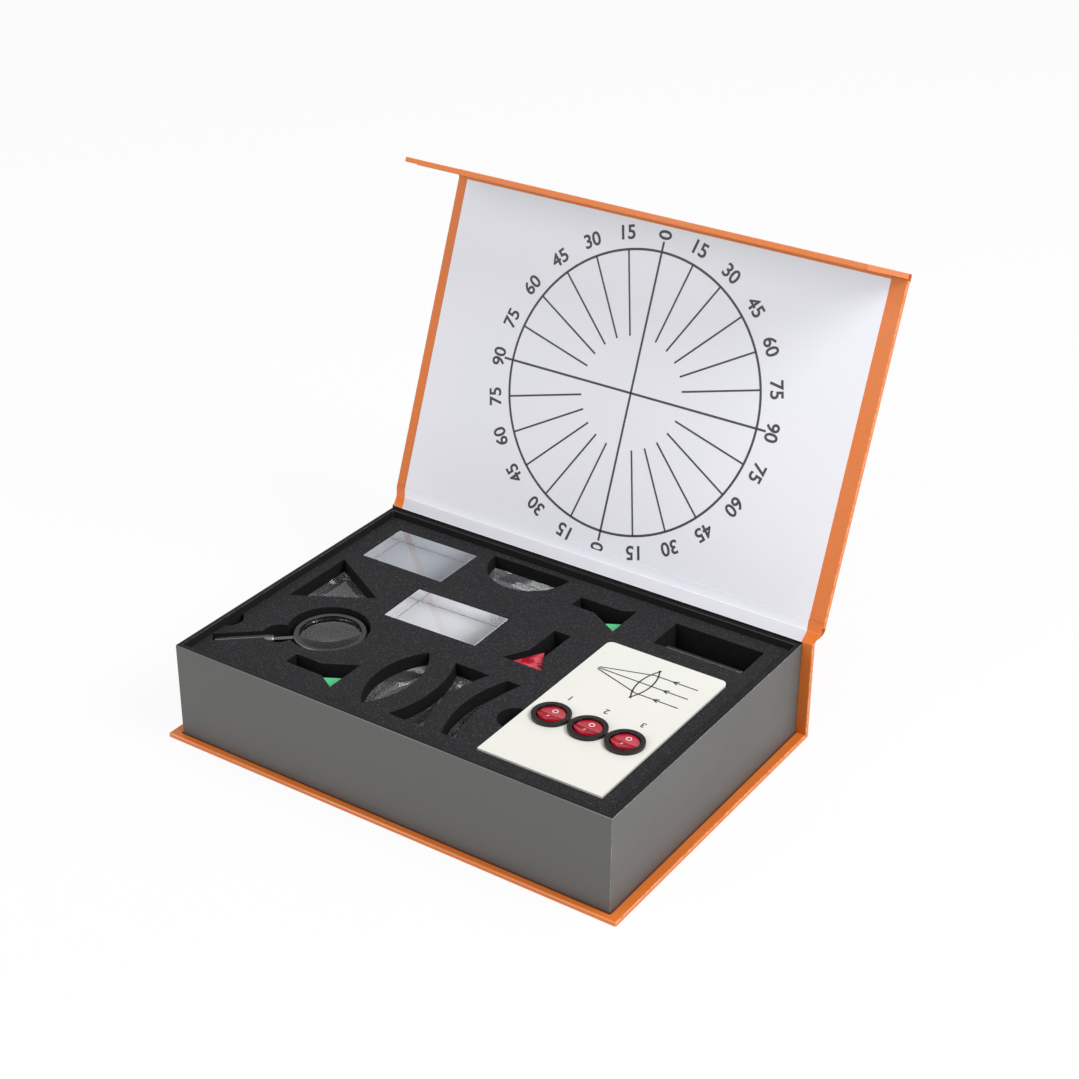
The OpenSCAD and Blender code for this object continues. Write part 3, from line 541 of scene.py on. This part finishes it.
def studio_paper(material):
    # White background paper: holds the shadow, and reads white to the camera and in reflections
    tone, _ = two_tones(material, tint("#f6f6f6"), tint("#f1f1f1"), 16.67, 3)
    matt = add_node(material, "BsdfDiffuse", None, {"Color": tone})
    white = add_node(material, "Emission", {"Color": (1, 1, 1, 1), "Strength": 1})
    share = add_node(material, "Math", {1: 0.9}, {0: seen_directly(material)},
                     operation="MULTIPLY")
    return add_node(material, "MixShader", None, {0: share, 1: matt, 2: white})


# Shapes

# Points closer than this are one, in metres
MERGE = 1e-5


def piece(shape, name, makers, body=None, nodes=()):
    """Makes a finished object of a bmesh, which rides on a body and stands for CAD nodes."""
    mesh = bpy.data.meshes.new(name)
    shape.to_mesh(mesh)
    shape.free()
    for polygon in mesh.polygons:
        polygon.use_smooth = True
    for maker in makers:
        mesh.materials.append(finish(maker))
    made = bpy.data.objects.new(name, mesh)
    bpy.context.scene.collection.objects.link(made)
    even = made.modifiers.new("even normals", "WEIGHTED_NORMAL")
    even.keep_sharp = True
    if body:
        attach(made, body)
    if nodes:
        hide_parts(*nodes)
    return made


def softened(node, width, segments=2, sharp=40, lift=0):
    """A merged copy of a CAD node with crisp edges rounded; the rounding carries worn = 1.

    lift raises the underside a hair, so that it doesn't lie in the same plane as the foam.
    """
    shape = bmesh.new()
    shape.from_mesh(frame["nodes"][node].data)
    bmesh.ops.remove_doubles(shape, verts=shape.verts, dist=MERGE)
    bmesh.ops.dissolve_limit(shape, angle_limit=math.radians(0.5), verts=shape.verts,
                             edges=shape.edges)
    if lift:
        low = min(v.co.z for v in shape.verts)
        under = [v for v in shape.verts if v.co.z < low + 0.05 * MM]
        bmesh.ops.translate(shape, verts=under, vec=(0, 0, lift * MM))
    crisp = [e for e in shape.edges
             if e.is_manifold and e.calc_face_angle() > math.radians(sharp)]
    worn = shape.faces.layers.float.new("worn")
    made = bmesh.ops.bevel(shape, geom=crisp, offset=width, offset_type="OFFSET",
                           affect="EDGES", segments=segments, profile=0.5, material=-1,
                           clamp_overlap=True)
    for face in made["faces"]:
        face[worn] = 1
    return shape


def pick_faces(shape, test):
    """Gives the second finish to the faces that pass a test, and the first one to the others."""
    for face in shape.faces:
        face.material_index = 1 if test(face) else 0


def from_sides(point, low, high):
    """How far inside the four upright sides of a box a point lies."""
    return min(point.x - low.x, high.x - point.x, point.y - low.y, high.y - point.y)


def add_bar(shape, start, end, width, place):
    """A printed line between two points of a face, in millimetres."""
    start, end = Vector((*start, 0)), Vector((*end, 0))
    run = end - start
    middle = (start + end) / 2 + Vector((0, 0, INK_GAP + INK / 2))
    local = (Matrix.Translation(middle)
             @ Matrix.Rotation(math.atan2(run.y, run.x), 4, "Z")
             @ Matrix.Diagonal((run.length, width, INK, 1)))
    bmesh.ops.create_cube(shape, size=1, matrix=place @ local)


def add_ring(shape, centre, radius, width, place, sweep=360, start=0, steps=120):
    """A printed ring or arc on a face, spun from the section of its line."""
    part = bmesh.new()
    corners = [part.verts.new((radius + a * width / 2, 0, INK_GAP + b * INK))
               for a, b in ((-1, 0), (1, 0), (1, 1), (-1, 1))]
    edges = [part.edges.new((corners[i], corners[(i + 1) % 4])) for i in range(4)]
    bmesh.ops.spin(part, geom=corners + edges, cent=(0, 0, 0), axis=(0, 0, 1),
                   angle=math.radians(sweep), steps=steps, use_merge=sweep == 360)
    if sweep != 360:
        bmesh.ops.holes_fill(part, edges=[e for e in part.edges if e.is_boundary], sides=4)
    bmesh.ops.remove_doubles(part, verts=part.verts, dist=MERGE)
    bmesh.ops.recalc_face_normals(part, faces=part.faces)
    local = Matrix.Translation((*centre, 0)) @ Matrix.Rotation(math.radians(start), 4, "Z")
    bmesh.ops.transform(part, matrix=place @ local, verts=part.verts)
    join(shape, part)


def join(shape, part):
    """Adds a bmesh to another."""
    carrier = bpy.data.meshes.new("part")
    part.to_mesh(carrier)
    part.free()
    shape.from_mesh(carrier)
    bpy.data.meshes.remove(carrier)


def add_figure(shape, text, height, at, turn, place, bold=0.02):
    """Printed figures, centred on a point of a face and turned, in millimetres and degrees."""
    curve = bpy.data.curves.new("figure", "FONT")
    curve.body = text
    curve.size = 1
    curve.bevel_depth = bold
    curve.bevel_resolution = 1
    curve.extrude = 0.5 - bold
    carrier = bpy.data.objects.new("figure", curve)
    bpy.context.scene.collection.objects.link(carrier)
    bpy.context.view_layer.update()
    ready = carrier.evaluated_get(bpy.context.evaluated_depsgraph_get())
    flat = bpy.data.meshes.new_from_object(ready)
    part = bmesh.new()
    part.from_mesh(flat)
    bpy.data.objects.remove(carrier)
    bpy.data.meshes.remove(flat)
    bmesh.ops.remove_doubles(part, verts=part.verts, dist=MERGE)
    low = [min(v.co[i] for v in part.verts) for i in (0, 1)]
    high = [max(v.co[i] for v in part.verts) for i in (0, 1)]
    grow = height / (high[1] - low[1])
    local = (Matrix.Translation((*at, INK_GAP + INK / 2))
             @ Matrix.Rotation(math.radians(turn), 4, "Z")
             @ Matrix.Diagonal((grow, grow, INK, 1))
             @ Matrix.Translation((-(low[0] + high[0]) / 2, -(low[1] + high[1]) / 2, 0)))
    bmesh.ops.transform(part, matrix=place @ local, verts=part.verts)
    join(shape, part)


def smooth_line(points, steps=6):
    """A smooth line through points, as the paper bends."""
    line = []
    for i in range(len(points) - 1):
        before = points[max(i - 1, 0)]
        here, there = points[i], points[i + 1]
        after = points[min(i + 2, len(points) - 1)]
        line += interpolate_bezier(here, here + (there - before) / 6,
                                   there - (after - here) / 6, there, steps + 1)[:-1]
    return line + [points[-1]]


def add_strip(shape, line, left, right, thick):
    """A strip of paper along a line in the YZ plane, drawn from left to right and thickened."""
    part = bmesh.new()
    verts = [part.verts.new((left * MM, p.y * MM, p.z * MM)) for p in line]
    edges = [part.edges.new(pair) for pair in zip(verts, verts[1:])]
    sides = 24
    for _ in range(sides):
        grown = bmesh.ops.extrude_edge_only(part, edges=edges)["geom"]
        edges = [g for g in grown if isinstance(g, bmesh.types.BMEdge)
                 and all(v in grown for v in g.verts)]
        moved = [g for g in grown if isinstance(g, bmesh.types.BMVert)]
        bmesh.ops.translate(part, verts=moved, vec=((right - left) * MM / sides, 0, 0))
    bmesh.ops.recalc_face_normals(part, faces=part.faces)
    bmesh.ops.solidify(part, geom=part.faces[:], thickness=thick * MM)
    bmesh.ops.recalc_face_normals(part, faces=part.faces)
    join(shape, part)


def ease(shape, marks):
    """Leads the borders of a crease sideways as it comes down to the tray, in millimetres.

    marks are pairs of a border's place at the lid and at the tray.
    """
    lid_y, tray_y = 117, 103.4
    for vert in shape.verts:
        x = vert.co.x / MM
        share = min(max((lid_y - vert.co.y / MM) / (lid_y - tray_y), 0), 1)
        for (a, to_a), (b, to_b) in zip(marks, marks[1:]):
            if a - 0.01 <= x <= b + 0.01:
                along = (x - a) / (b - a)
                vert.co.x += share * ((to_a - a) * (1 - along) + (to_b - b) * along) * MM
                break


def in_lid(y, z):
    """A point of the closed lid, in millimetres, where it stands with the lid open."""
    fold = LID_FOLD / MM
    return fold + LID_TURN @ (Vector((0, y, z)) - Vector((0, fold.y, fold.z)))


def in_flap(y, z):
    """A point of the closed flap, in millimetres, where it stands with lid and flap open."""
    turn = Matrix.Rotation(math.radians(-FLAP_REST), 3, "X")
    turned = FLAP_FOLD + turn @ (Vector((0, y, z)) - FLAP_FOLD)
    return in_lid(turned.y, turned.z)


# Operators, one for each piece or group of like pieces

class CaseBoards(bpy.types.Operator):
    """Base board and spine board of the case, wrapped in orange paper"""
    bl_idname = "ray_kit.case_boards"
    bl_label = "Case boards"

    def execute(self, context):
        for node in ("base_board", "spine_board"):
            shape = softened(node, sizes().board_edge, 3)
            if node == "spine_board":
                self.fit_spine(shape)
            piece(shape, "wrapped_" + node, [coated_wrap_paper, tray_lining_paper], "case",
                  [node])
        return {"FINISHED"}

    def fit_spine(self, shape):
        """Lines the spine with black paper where the tray leans on it, as painted shade in the gap
        behind the tray, and draws in its top and its left end.
        """
        tray_half, drop, draw_in = 150 * MM, 0.6 * MM, 6.6 * MM
        for side in (-1, 1):
            bmesh.ops.bisect_plane(shape, plane_co=(side * tray_half, 0, 0), plane_no=(1, 0, 0),
                                   geom=shape.verts[:] + shape.edges[:] + shape.faces[:])
        # Painted shade: the spine's face behind the tray takes the black paper
        pick_faces(shape, lambda face: face.normal.y < -0.6
                   and abs(face.calc_center_median().x) < tray_half)
        top = max(v.co.z for v in shape.verts) - MM
        bmesh.ops.translate(shape, verts=[v for v in shape.verts if v.co.z > top],
                            vec=(0, 0, -drop))
        bmesh.ops.translate(shape, verts=[v for v in shape.verts if v.co.x < -tray_half - MM],
                            vec=(draw_in, 0, 0))


class Tray(bpy.types.Operator):
    """Tray wrapped in dark paper, with its rubbed rim and painted contact shadow round its foot"""
    bl_idname = "ray_kit.tray"
    bl_label = "Tray"

    def execute(self, context):
        shape = softened("tray_shell", sizes().tray_edge)
        low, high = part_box("tray_shell")

        def lined(face):
            at = face.calc_center_median()
            on_rim = face.normal.z > 0.97 and at.z > high.z - MM
            # Painted contact shadow: the tray's lowest rounded faces take the black paper
            foot_shadow = at.z < low.z + 0.5 * MM
            return on_rim or foot_shadow or (from_sides(at, low, high) > 1.6 * MM and at.z > low.z + MM)

        pick_faces(shape, lined)
        piece(shape, "paper_tray", [tray_wrap_paper, tray_lining_paper], "case", ["tray_shell"])
        floor = face_place((0, 0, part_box("base_board")[1].z), (1, 0, 0), (0, 1, 0))
        left, right, front, back = (v / MM for v in (low.x, high.x, low.y, high.y))
        out, past, width = 0.4, 0.5, 1.3
        # A thin dark line of painted contact shadow round the tray's foot
        shadow_line = bmesh.new()
        for start, end in (((left - past, front - out), (right + past, front - out)),
                           ((right + out, front - past), (right + out, back)),
                           ((left - out, front - past), (left - out, back))):
            add_bar(shadow_line, start, end, width, floor)
        piece(shadow_line, "painted_contact_shadow", [bone_glue], "case", ())
        return {"FINISHED"}


class LidAndFlap(bpy.types.Operator):
    """Lid board, flap board and their liners"""
    bl_idname = "ray_kit.lid_and_flap"
    bl_label = "Lid and flap"

    def execute(self, context):
        for node, body in (("lid_board", "lid"), ("flap_board", "flap")):
            made = piece(softened(node, sizes().board_edge, 3), "wrapped_" + node,
                         [coated_wrap_paper], body, [node])
            made.visible_diffuse = body == "lid"
        piece(softened("lid_liner", sizes().liner_edge), "printed_lid_liner",
              [white_art_paper], "lid", ["lid_liner"])
        made = piece(softened("flap_liner", sizes().liner_edge), "papered_flap_liner",
                     [coated_wrap_paper], "flap", ["flap_liner"])
        made.visible_diffuse = False
        return {"FINISHED"}


class Creases(bpy.types.Operator):
    """Paper that bends between spine and lid, and between lid and flap"""
    bl_idname = "ray_kit.creases"
    bl_label = "Creases"

    def execute(self, context):
        thick = sizes().paper / MM
        # The paper's way from the spine to the lid, as its outside and its inside take it
        outer = [Vector((0, y, z)) for y, z in ((106.72, 54), (106.75, 60), (106.85, 64.4),
                                                (109, 65.7), (113, 65.4), (117, 65.6),
                                                (119.2, 66.7), (120, 68.6), (120.6, 71.2))]
        inner = [Vector((0, y, z)) for y, z in ((103.35, 65.5), (103.9, 66.05), (106.5, 66.1),
                                                (111, 66), (113.7, 66.35), (114.6, 67.1),
                                                (115.2, 68.4), (116.2, 70.9), (116.95, 73))]
        low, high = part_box("lid_liner")
        white = low.x / MM, high.x / MM
        left_at_tray = -149
        sides = [(-CREASE_HALF, left_at_tray), (CREASE_HALF, CREASE_HALF)]
        borders = [sides[0], (white[0], white[0] + 8), (white[1], white[1] + 3), sides[1]]

        shape = bmesh.new()
        add_strip(shape, smooth_line(outer), -CREASE_HALF, CREASE_HALF, thick)
        ease(shape, sides)
        crease = piece(shape, "outer_lid_crease", [coated_wrap_paper], None,
                       ["lid_hinge_strip"])
        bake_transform(crease)

        shape = bmesh.new()
        add_strip(shape, smooth_line(inner), *white, thick)
        ease(shape, borders)
        # Painted shade: the crease's up-facing faces take the greyer paper
        pick_faces(shape, lambda face: face.normal.z > 0.6)
        crease = piece(shape, "inner_lid_crease", [white_art_paper, creased_art_paper], None, ())
        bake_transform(crease)

        shape = bmesh.new()
        add_strip(shape, smooth_line(inner), -CREASE_HALF, white[0], thick)
        add_strip(shape, smooth_line(inner), white[1], CREASE_HALF, thick)
        ease(shape, borders)
        crease = piece(shape, "inner_lid_crease_margin", [coated_wrap_paper], None, ())
        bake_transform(crease)

        # Between lid and flap the paper runs flat, then round the fold, then down the flap
        bend, lid_z, flap_y, steps = 1.86, 67.86, -108.56, 8
        arc = [in_lid(y, lid_z) for y in (-103.6, -104.5, -105.6)]
        for i in range(steps + 1):
            angle = math.radians(90 + (90 - FLAP_REST) * i / steps)
            arc.append(in_lid(FLAP_FOLD.y + bend * math.cos(angle),
                              FLAP_FOLD.z + bend * math.sin(angle)))
        arc += [in_flap(flap_y, z) for z in (65.0, 63.8, 62.9)]
        inside = [in_lid(-103.5, 64.25), in_lid(-104.2, 64.2), in_lid(-104.7, 63.95),
                  in_flap(-104.95, 63.5), in_flap(-104.97, 62.6)]
        shape = bmesh.new()
        add_strip(shape, arc, -CASE_HALF, CASE_HALF, thick)
        add_strip(shape, smooth_line(inside, 4), -CREASE_HALF, CREASE_HALF, thick * 0.6)
        crease = piece(shape, "flap_crease", [coated_wrap_paper], None,
                       ["flap_hinge_strip"])
        crease.visible_diffuse = False
        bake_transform(crease)
        return {"FINISHED"}


class AngleDisc(bpy.types.Operator):
    """Angle disc printed on the inside of the lid"""
    bl_idname = "ray_kit.angle_disc"
    bl_label = "Angle disc"

    def execute(self, context):
        radius, count, step = sizes().disc_radius / MM, 24, 15
        ring_width, main_width, line_width, past, figure_gap = 1.5, 1.4, 1.15, 6.3, 10.4
        centre = Vector((-1.5, sizes().disc_height / MM))
        shape = bmesh.new()
        add_ring(shape, centre, radius, ring_width, LINER_PRINT, steps=180)
        for i in range(count):
            angle = math.radians(90 - step * i)
            way = Vector((math.cos(angle), math.sin(angle)))
            half = count // 2
            number = step * min(i % half, half - i % half)
            if number not in (0, 90):
                add_bar(shape, centre + way * radius * 0.4, centre + way * radius, line_width,
                        LINER_PRINT)
            elif i < half:
                reach = way * (radius + past)
                add_bar(shape, centre - reach, centre + reach, main_width, LINER_PRINT)
            turn = -step * i + (90 if number == 0 else 0)
            add_figure(shape, str(number), sizes().figure_height / MM,
                       centre + way * (radius + figure_gap), turn, LINER_PRINT)
        piece(shape, "printed_angle_disc", [printing_ink], "lid", ())
        return {"FINISHED"}


class FoamInsert(bpy.types.Operator):
    """Three layers of die cut foam"""
    bl_idname = "ray_kit.foam_insert"
    bl_label = "Foam insert"

    def execute(self, context):
        for node in ("foam_top_layer", "foam_mid_layer", "foam_base_pad"):
            shape = softened(node, sizes().foam_edge)
            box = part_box(node)
            # Pocket walls take the blacker cut foam, which is partly painted shade
            pick_faces(shape, lambda face: abs(face.normal.z) < 0.5
                       and from_sides(face.calc_center_median(), *box) > 2 * MM)
            made = piece(shape, "cut_" + node, [die_cut_foam, knife_cut_foam], "foam_insert",
                         [node])
        return {"FINISHED"}


class RayBoxShells(bpy.types.Operator):
    """White shells of the ray box with the printed line drawing and switch numbers"""
    bl_idname = "ray_kit.ray_box_shells"
    bl_label = "Ray box shells"

    def execute(self, context):
        for node in ("ray_box_upper_shell", "ray_box_lower_shell"):
            piece(softened(node, sizes().shell_edge, 3), "moulded_" + node.removeprefix("ray_box_"),
                  [moulded_white_abs], "ray_box", [node])
        low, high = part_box("ray_box_upper_shell")
        top = Vector(((low.x + high.x) / 2, (low.y + high.y) / 2, high.z))
        place = face_place(top, (-1, 0, 0), (0, -1, 0))
        # Three rays that meet behind a lens, drawn in front of the switches
        middle, lens_x, line, round_of_lens = -38.5, -2, 0.85, 33
        shape = bmesh.new()
        numeral, numeral_y = 4.6, -2.2
        for i, across in enumerate((25, 1, -23)):
            add_figure(shape, str(i + 1), numeral, (across, numeral_y), 0, place, 0.01)
        for shift in (-11, 0, 11):
            ray = middle + shift
            add_bar(shape, (-30, ray), (lens_x, ray), line, place)
            add_bar(shape, (lens_x, ray), (29.5, middle + 0.1 * shift), line, place)
            for side in (-1, 1):
                add_bar(shape, (-17.2, ray + side * 1.7), (-14, ray), line, place)
        for side in (-1, 1):
            add_ring(shape, (lens_x - side * 29, middle), round_of_lens, 0.95, place, sweep=62,
                     start=-31 if side > 0 else 149, steps=24)
        piece(shape, "printed_ray_drawing", [printing_ink], "ray_box", ())
        return {"FINISHED"}


class Switches(bpy.types.Operator):
    """Three rocker switches with their bezels and marks"""
    bl_idname = "ray_kit.switches"
    bl_label = "Switches"

    def execute(self, context):
        # The rocker is tipped by 10 degrees, and each half of its face leans 10 degrees from it
        pin_depth, face_height = 2.6 * MM, 1.4 * MM
        lean = Matrix.Rotation(math.radians(10), 4, "X")
        for i, body in enumerate(("left_rocker", "middle_rocker", "right_rocker")):
            housing, rocker = f"switch_housing_{i + 1}", f"rocker_{i + 1}"
            piece(softened(housing, sizes().bezel_edge, 3), f"switch_bezel_{i + 1}",
                  [moulded_black_nylon], "ray_box", [housing])
            piece(softened(rocker, sizes().rocker_edge, 3), f"moulded_rocker_{i + 1}",
                  [red_rocker_polycarbonate], body, [rocker])
            low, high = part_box(housing)
            pin = Vector(((low.x + high.x) / 2, (low.y + high.y) / 2, high.z - pin_depth))
            face = (Matrix.Translation(pin) @ lean.inverted()
                    @ Matrix.Translation((0, 0, face_height)))
            shape = bmesh.new()
            add_ring(shape, (0, 3.9), 1.5, 0.6, face @ lean @ Matrix.Scale(MM, 4), steps=32)
            add_bar(shape, (0, -5.2), (0, -2.4), 0.65,
                    face @ lean.inverted() @ Matrix.Scale(MM, 4))
            piece(shape, f"rocker_marks_{i + 1}", [white_pad_print], body, ())
        return {"FINISHED"}


class RayBoxWorks(bpy.types.Operator):
    """Finishes of the pieces inside the ray box and of the magnets"""
    bl_idname = "ray_kit.ray_box_works"
    bl_label = "Ray box works"

    def execute(self, context):
        works = {
            dull_black_abs: ["aperture_panel", "barrel_bracket", "cell_holder", "board_components"],
            polished_lens_glass: ["beam_window", "line_lens_1", "line_lens_2", "line_lens_3"],
            zinc_plated_steel: ["shell_screws", "door_screw"],
            turned_brass: ["beam_barrel_1", "beam_barrel_2", "beam_barrel_3"],
            stamped_brass: ["switch_terminals"],
            circuit_laminate: ["driver_board"],
            printed_cell_sleeve: ["battery_cell_1", "battery_cell_2"],
            plated_nickel: ["contact_plates", "contact_springs", "tray_magnets", "flap_magnets"],
            white_door_abs: ["battery_door"],
            wire_pvc: ["wiring"],
        }
        for maker, nodes in works.items():
            for node in nodes:
                for slot in frame["nodes"][node].material_slots:
                    slot.material = finish(maker)
        return {"FINISHED"}


# Clear pieces show their underside, which is lifted off the foam by this, in millimetres
UNDER_LIFT = 0.2


def faces_down(face):
    return face.normal.z < -0.99


class ClearPieces(bpy.types.Operator):
    """Clear acrylic blocks, prism and lenses"""
    bl_idname = "ray_kit.clear_pieces"
    bl_label = "Clear pieces"

    def execute(self, context):
        for node in ("wide_rectangular_block", "long_rectangular_block", "semicircular_block",
                     "clear_prism", "biconvex_lens", "biconcave_lens", "curved_lens"):
            shape = softened(node, sizes().block_edge, sharp=30, lift=UNDER_LIFT)
            if node.endswith("rectangular_block"):
                pick_faces(shape, faces_down)
            under = sawn_acrylic if node.startswith("wide") else ground_acrylic
            clear = polished_clear_acrylic if node.endswith("block") else moulded_lens_acrylic
            made = piece(shape, "polished_" + node, [clear, under],
                         node + "_piece", [node])
            made.visible_shadow = made.visible_diffuse = False
        return {"FINISHED"}


class ColouredPrisms(bpy.types.Operator):
    """Two green prisms and the red one"""
    bl_idname = "ray_kit.coloured_prisms"
    bl_label = "Coloured prisms"

    def execute(self, context):
        for node, maker, slot in (("green_prism_1", fluorescent_green_acrylic, "green_acrylic"),
                                  ("green_prism_2", fluorescent_green_acrylic, "green_acrylic"),
                                  ("red_prism", faceted_red_acrylic, "red_acrylic")):
            shape = softened(node, sizes().block_edge, lift=UNDER_LIFT)
            pick_faces(shape, faces_down)
            made = piece(shape, "polished_" + node, [maker, ground_acrylic], node + "_piece",
                         [node])
            made.visible_shadow = made.visible_diffuse = False
        return {"FINISHED"}


class PlaneMirror(bpy.types.Operator):
    """Plane mirror: glass with ground edges and its painted back"""
    bl_idname = "ray_kit.plane_mirror"
    bl_label = "Plane mirror"

    def execute(self, context):
        shape = softened("plane_mirror_glass", 0.3 * MM, 1)
        pick_faces(shape, lambda face: max(abs(face.normal.x), abs(face.normal.z)) > 0.99)
        piece(shape, "ground_mirror_glass", [float_glass, ground_glass_edge], "plane_mirror",
              ["plane_mirror_glass"])
        piece(softened("plane_mirror_back", 0.08 * MM, 1), "painted_mirror_back",
              [brushed_mirror_paint], "plane_mirror", ["plane_mirror_back"])
        return {"FINISHED"}


class Magnifier(bpy.types.Operator):
    """Magnifier: ring, lens, neck and handle"""
    bl_idname = "ray_kit.magnifier"
    bl_label = "Magnifier"

    def execute(self, context):
        for node, maker, width, slot in (
                ("magnifier_ring", black_lacquer, 0.7, "black_plastic"),
                ("magnifier_handle", black_lacquer, 0.8, "black_plastic"),
                ("magnifier_neck", blackened_steel, 0.2, "screw_steel")):
            shape = softened(node, width * MM)
            if maker is black_lacquer:
                # Painted highlight: the up-facing rounded edges take the light bare metal
                pick_faces(shape, lambda face: 0.2 < face.normal.z < 0.95)
            piece(shape, "turned_" + node, [maker, rubbed_brass_edge], "magnifier", [node])
        lens = frame["nodes"]["magnifier_lens"]
        for slot in lens.material_slots:
            slot.material = finish(polished_lens_glass)
        lens.visible_shadow = lens.visible_diffuse = False
        return {"FINISHED"}


class Studio(bpy.types.Operator):
    """Floor, lights, world and the camera at the photograph's angle"""
    bl_idname = "ray_kit.studio"
    bl_label = "Studio"

    def execute(self, context):
        scene = context.scene
        scene.view_settings.view_transform = "Standard"
        shape = bmesh.new()
        bmesh.ops.create_circle(shape, cap_ends=True, segments=96, radius=9)
        floor = piece(shape, "studio_floor", [studio_paper])
        world = bpy.data.worlds.new("studio_world")
        scene.world = world
        world.use_nodes = True
        world.node_tree.nodes.clear()
        strength = add_node(world, "MapRange", {"To Min": 0.5}, {"Value": seen_directly(world)})
        sky = add_node(world, "Background", {"Color": (1, 1, 1, 1)}, {"Strength": strength})
        add_node(world, "OutputWorld", links={"Surface": sky})
        for name, spot, watts, size in (("key", (1.7, 0.1, 1.7), 42, 1.3),
                                        ("front", (-0.9, -2.2, 1.5), 22, 1.8)):
            lamp = bpy.data.lights.new(name, "AREA")
            lamp.shape = "DISK"
            lamp.size = size
            lamp.energy = watts
            stand = bpy.data.objects.new(name, lamp)
            scene.collection.objects.link(stand)
            stand.matrix_world = (Matrix.Translation(spot)
                                  @ Vector(spot).to_track_quat("Z", "Y").to_matrix().to_4x4())
        self.set_camera(scene)
        return {"FINISHED"}

    def set_camera(self, scene):
        """The photograph's camera as solved: its place in metres and its angles in radians."""
        place, focal_mm = (0.61509, -0.86505, 0.71858), 71.41
        turn, lift, lean = 0.59092, 0.50356, 0.00557
        back = Vector((math.sin(turn) * math.cos(lift), -math.cos(turn) * math.cos(lift),
                       math.sin(lift)))
        level = (-back).cross(Vector((0, 0, 1))).normalized()
        rise = level.cross(-back)
        across = math.cos(lean) * level + math.sin(lean) * rise
        up = -math.sin(lean) * level + math.cos(lean) * rise
        lens = bpy.data.cameras.new("photo_camera")
        lens.sensor_width = 36
        lens.lens = focal_mm
        lens.clip_start = 0.05
        camera = bpy.data.objects.new("photo_camera", lens)
        scene.collection.objects.link(camera)
        camera.matrix_world = (Matrix.Translation(place)
                               @ Matrix((across, up, back)).transposed().to_4x4())
        scene.camera = camera


STEPS = (Studio, CaseBoards, Tray, LidAndFlap, Creases, AngleDisc, FoamInsert, RayBoxShells,
         Switches, RayBoxWorks, ClearPieces, ColouredPrisms, PlaneMirror, Magnifier)


class KitPanel(bpy.types.Panel):
    bl_idname = "VIEW3D_PT_ray_kit"
    bl_label = "Ray box kit"
    bl_space_type = "VIEW_3D"
    bl_region_type = "UI"
    bl_category = "Ray box kit"

    def draw(self, context):
        for group in (context.scene.ray_kit_sizes, context.scene.ray_kit_colours):
            for name in group.__annotations__:
                self.layout.prop(group, name)
        for step in STEPS:
            self.layout.operator(step.bl_idname)


CLASSES = (KitSizes, KitColours, *STEPS, KitPanel)


def register():
    for item in CLASSES:
        bpy.utils.register_class(item)
    bpy.types.Scene.ray_kit_sizes = bpy.props.PointerProperty(type=KitSizes)
    bpy.types.Scene.ray_kit_colours = bpy.props.PointerProperty(type=KitColours)


def unregister():
    del bpy.types.Scene.ray_kit_colours
    del bpy.types.Scene.ray_kit_sizes
    for item in reversed(CLASSES):
        bpy.utils.unregister_class(item)


def main():
    register()
    for step in STEPS:
        group, name = step.bl_idname.split(".")
        getattr(getattr(bpy.ops, group), name)()


if __name__ == "__main__":
    main()
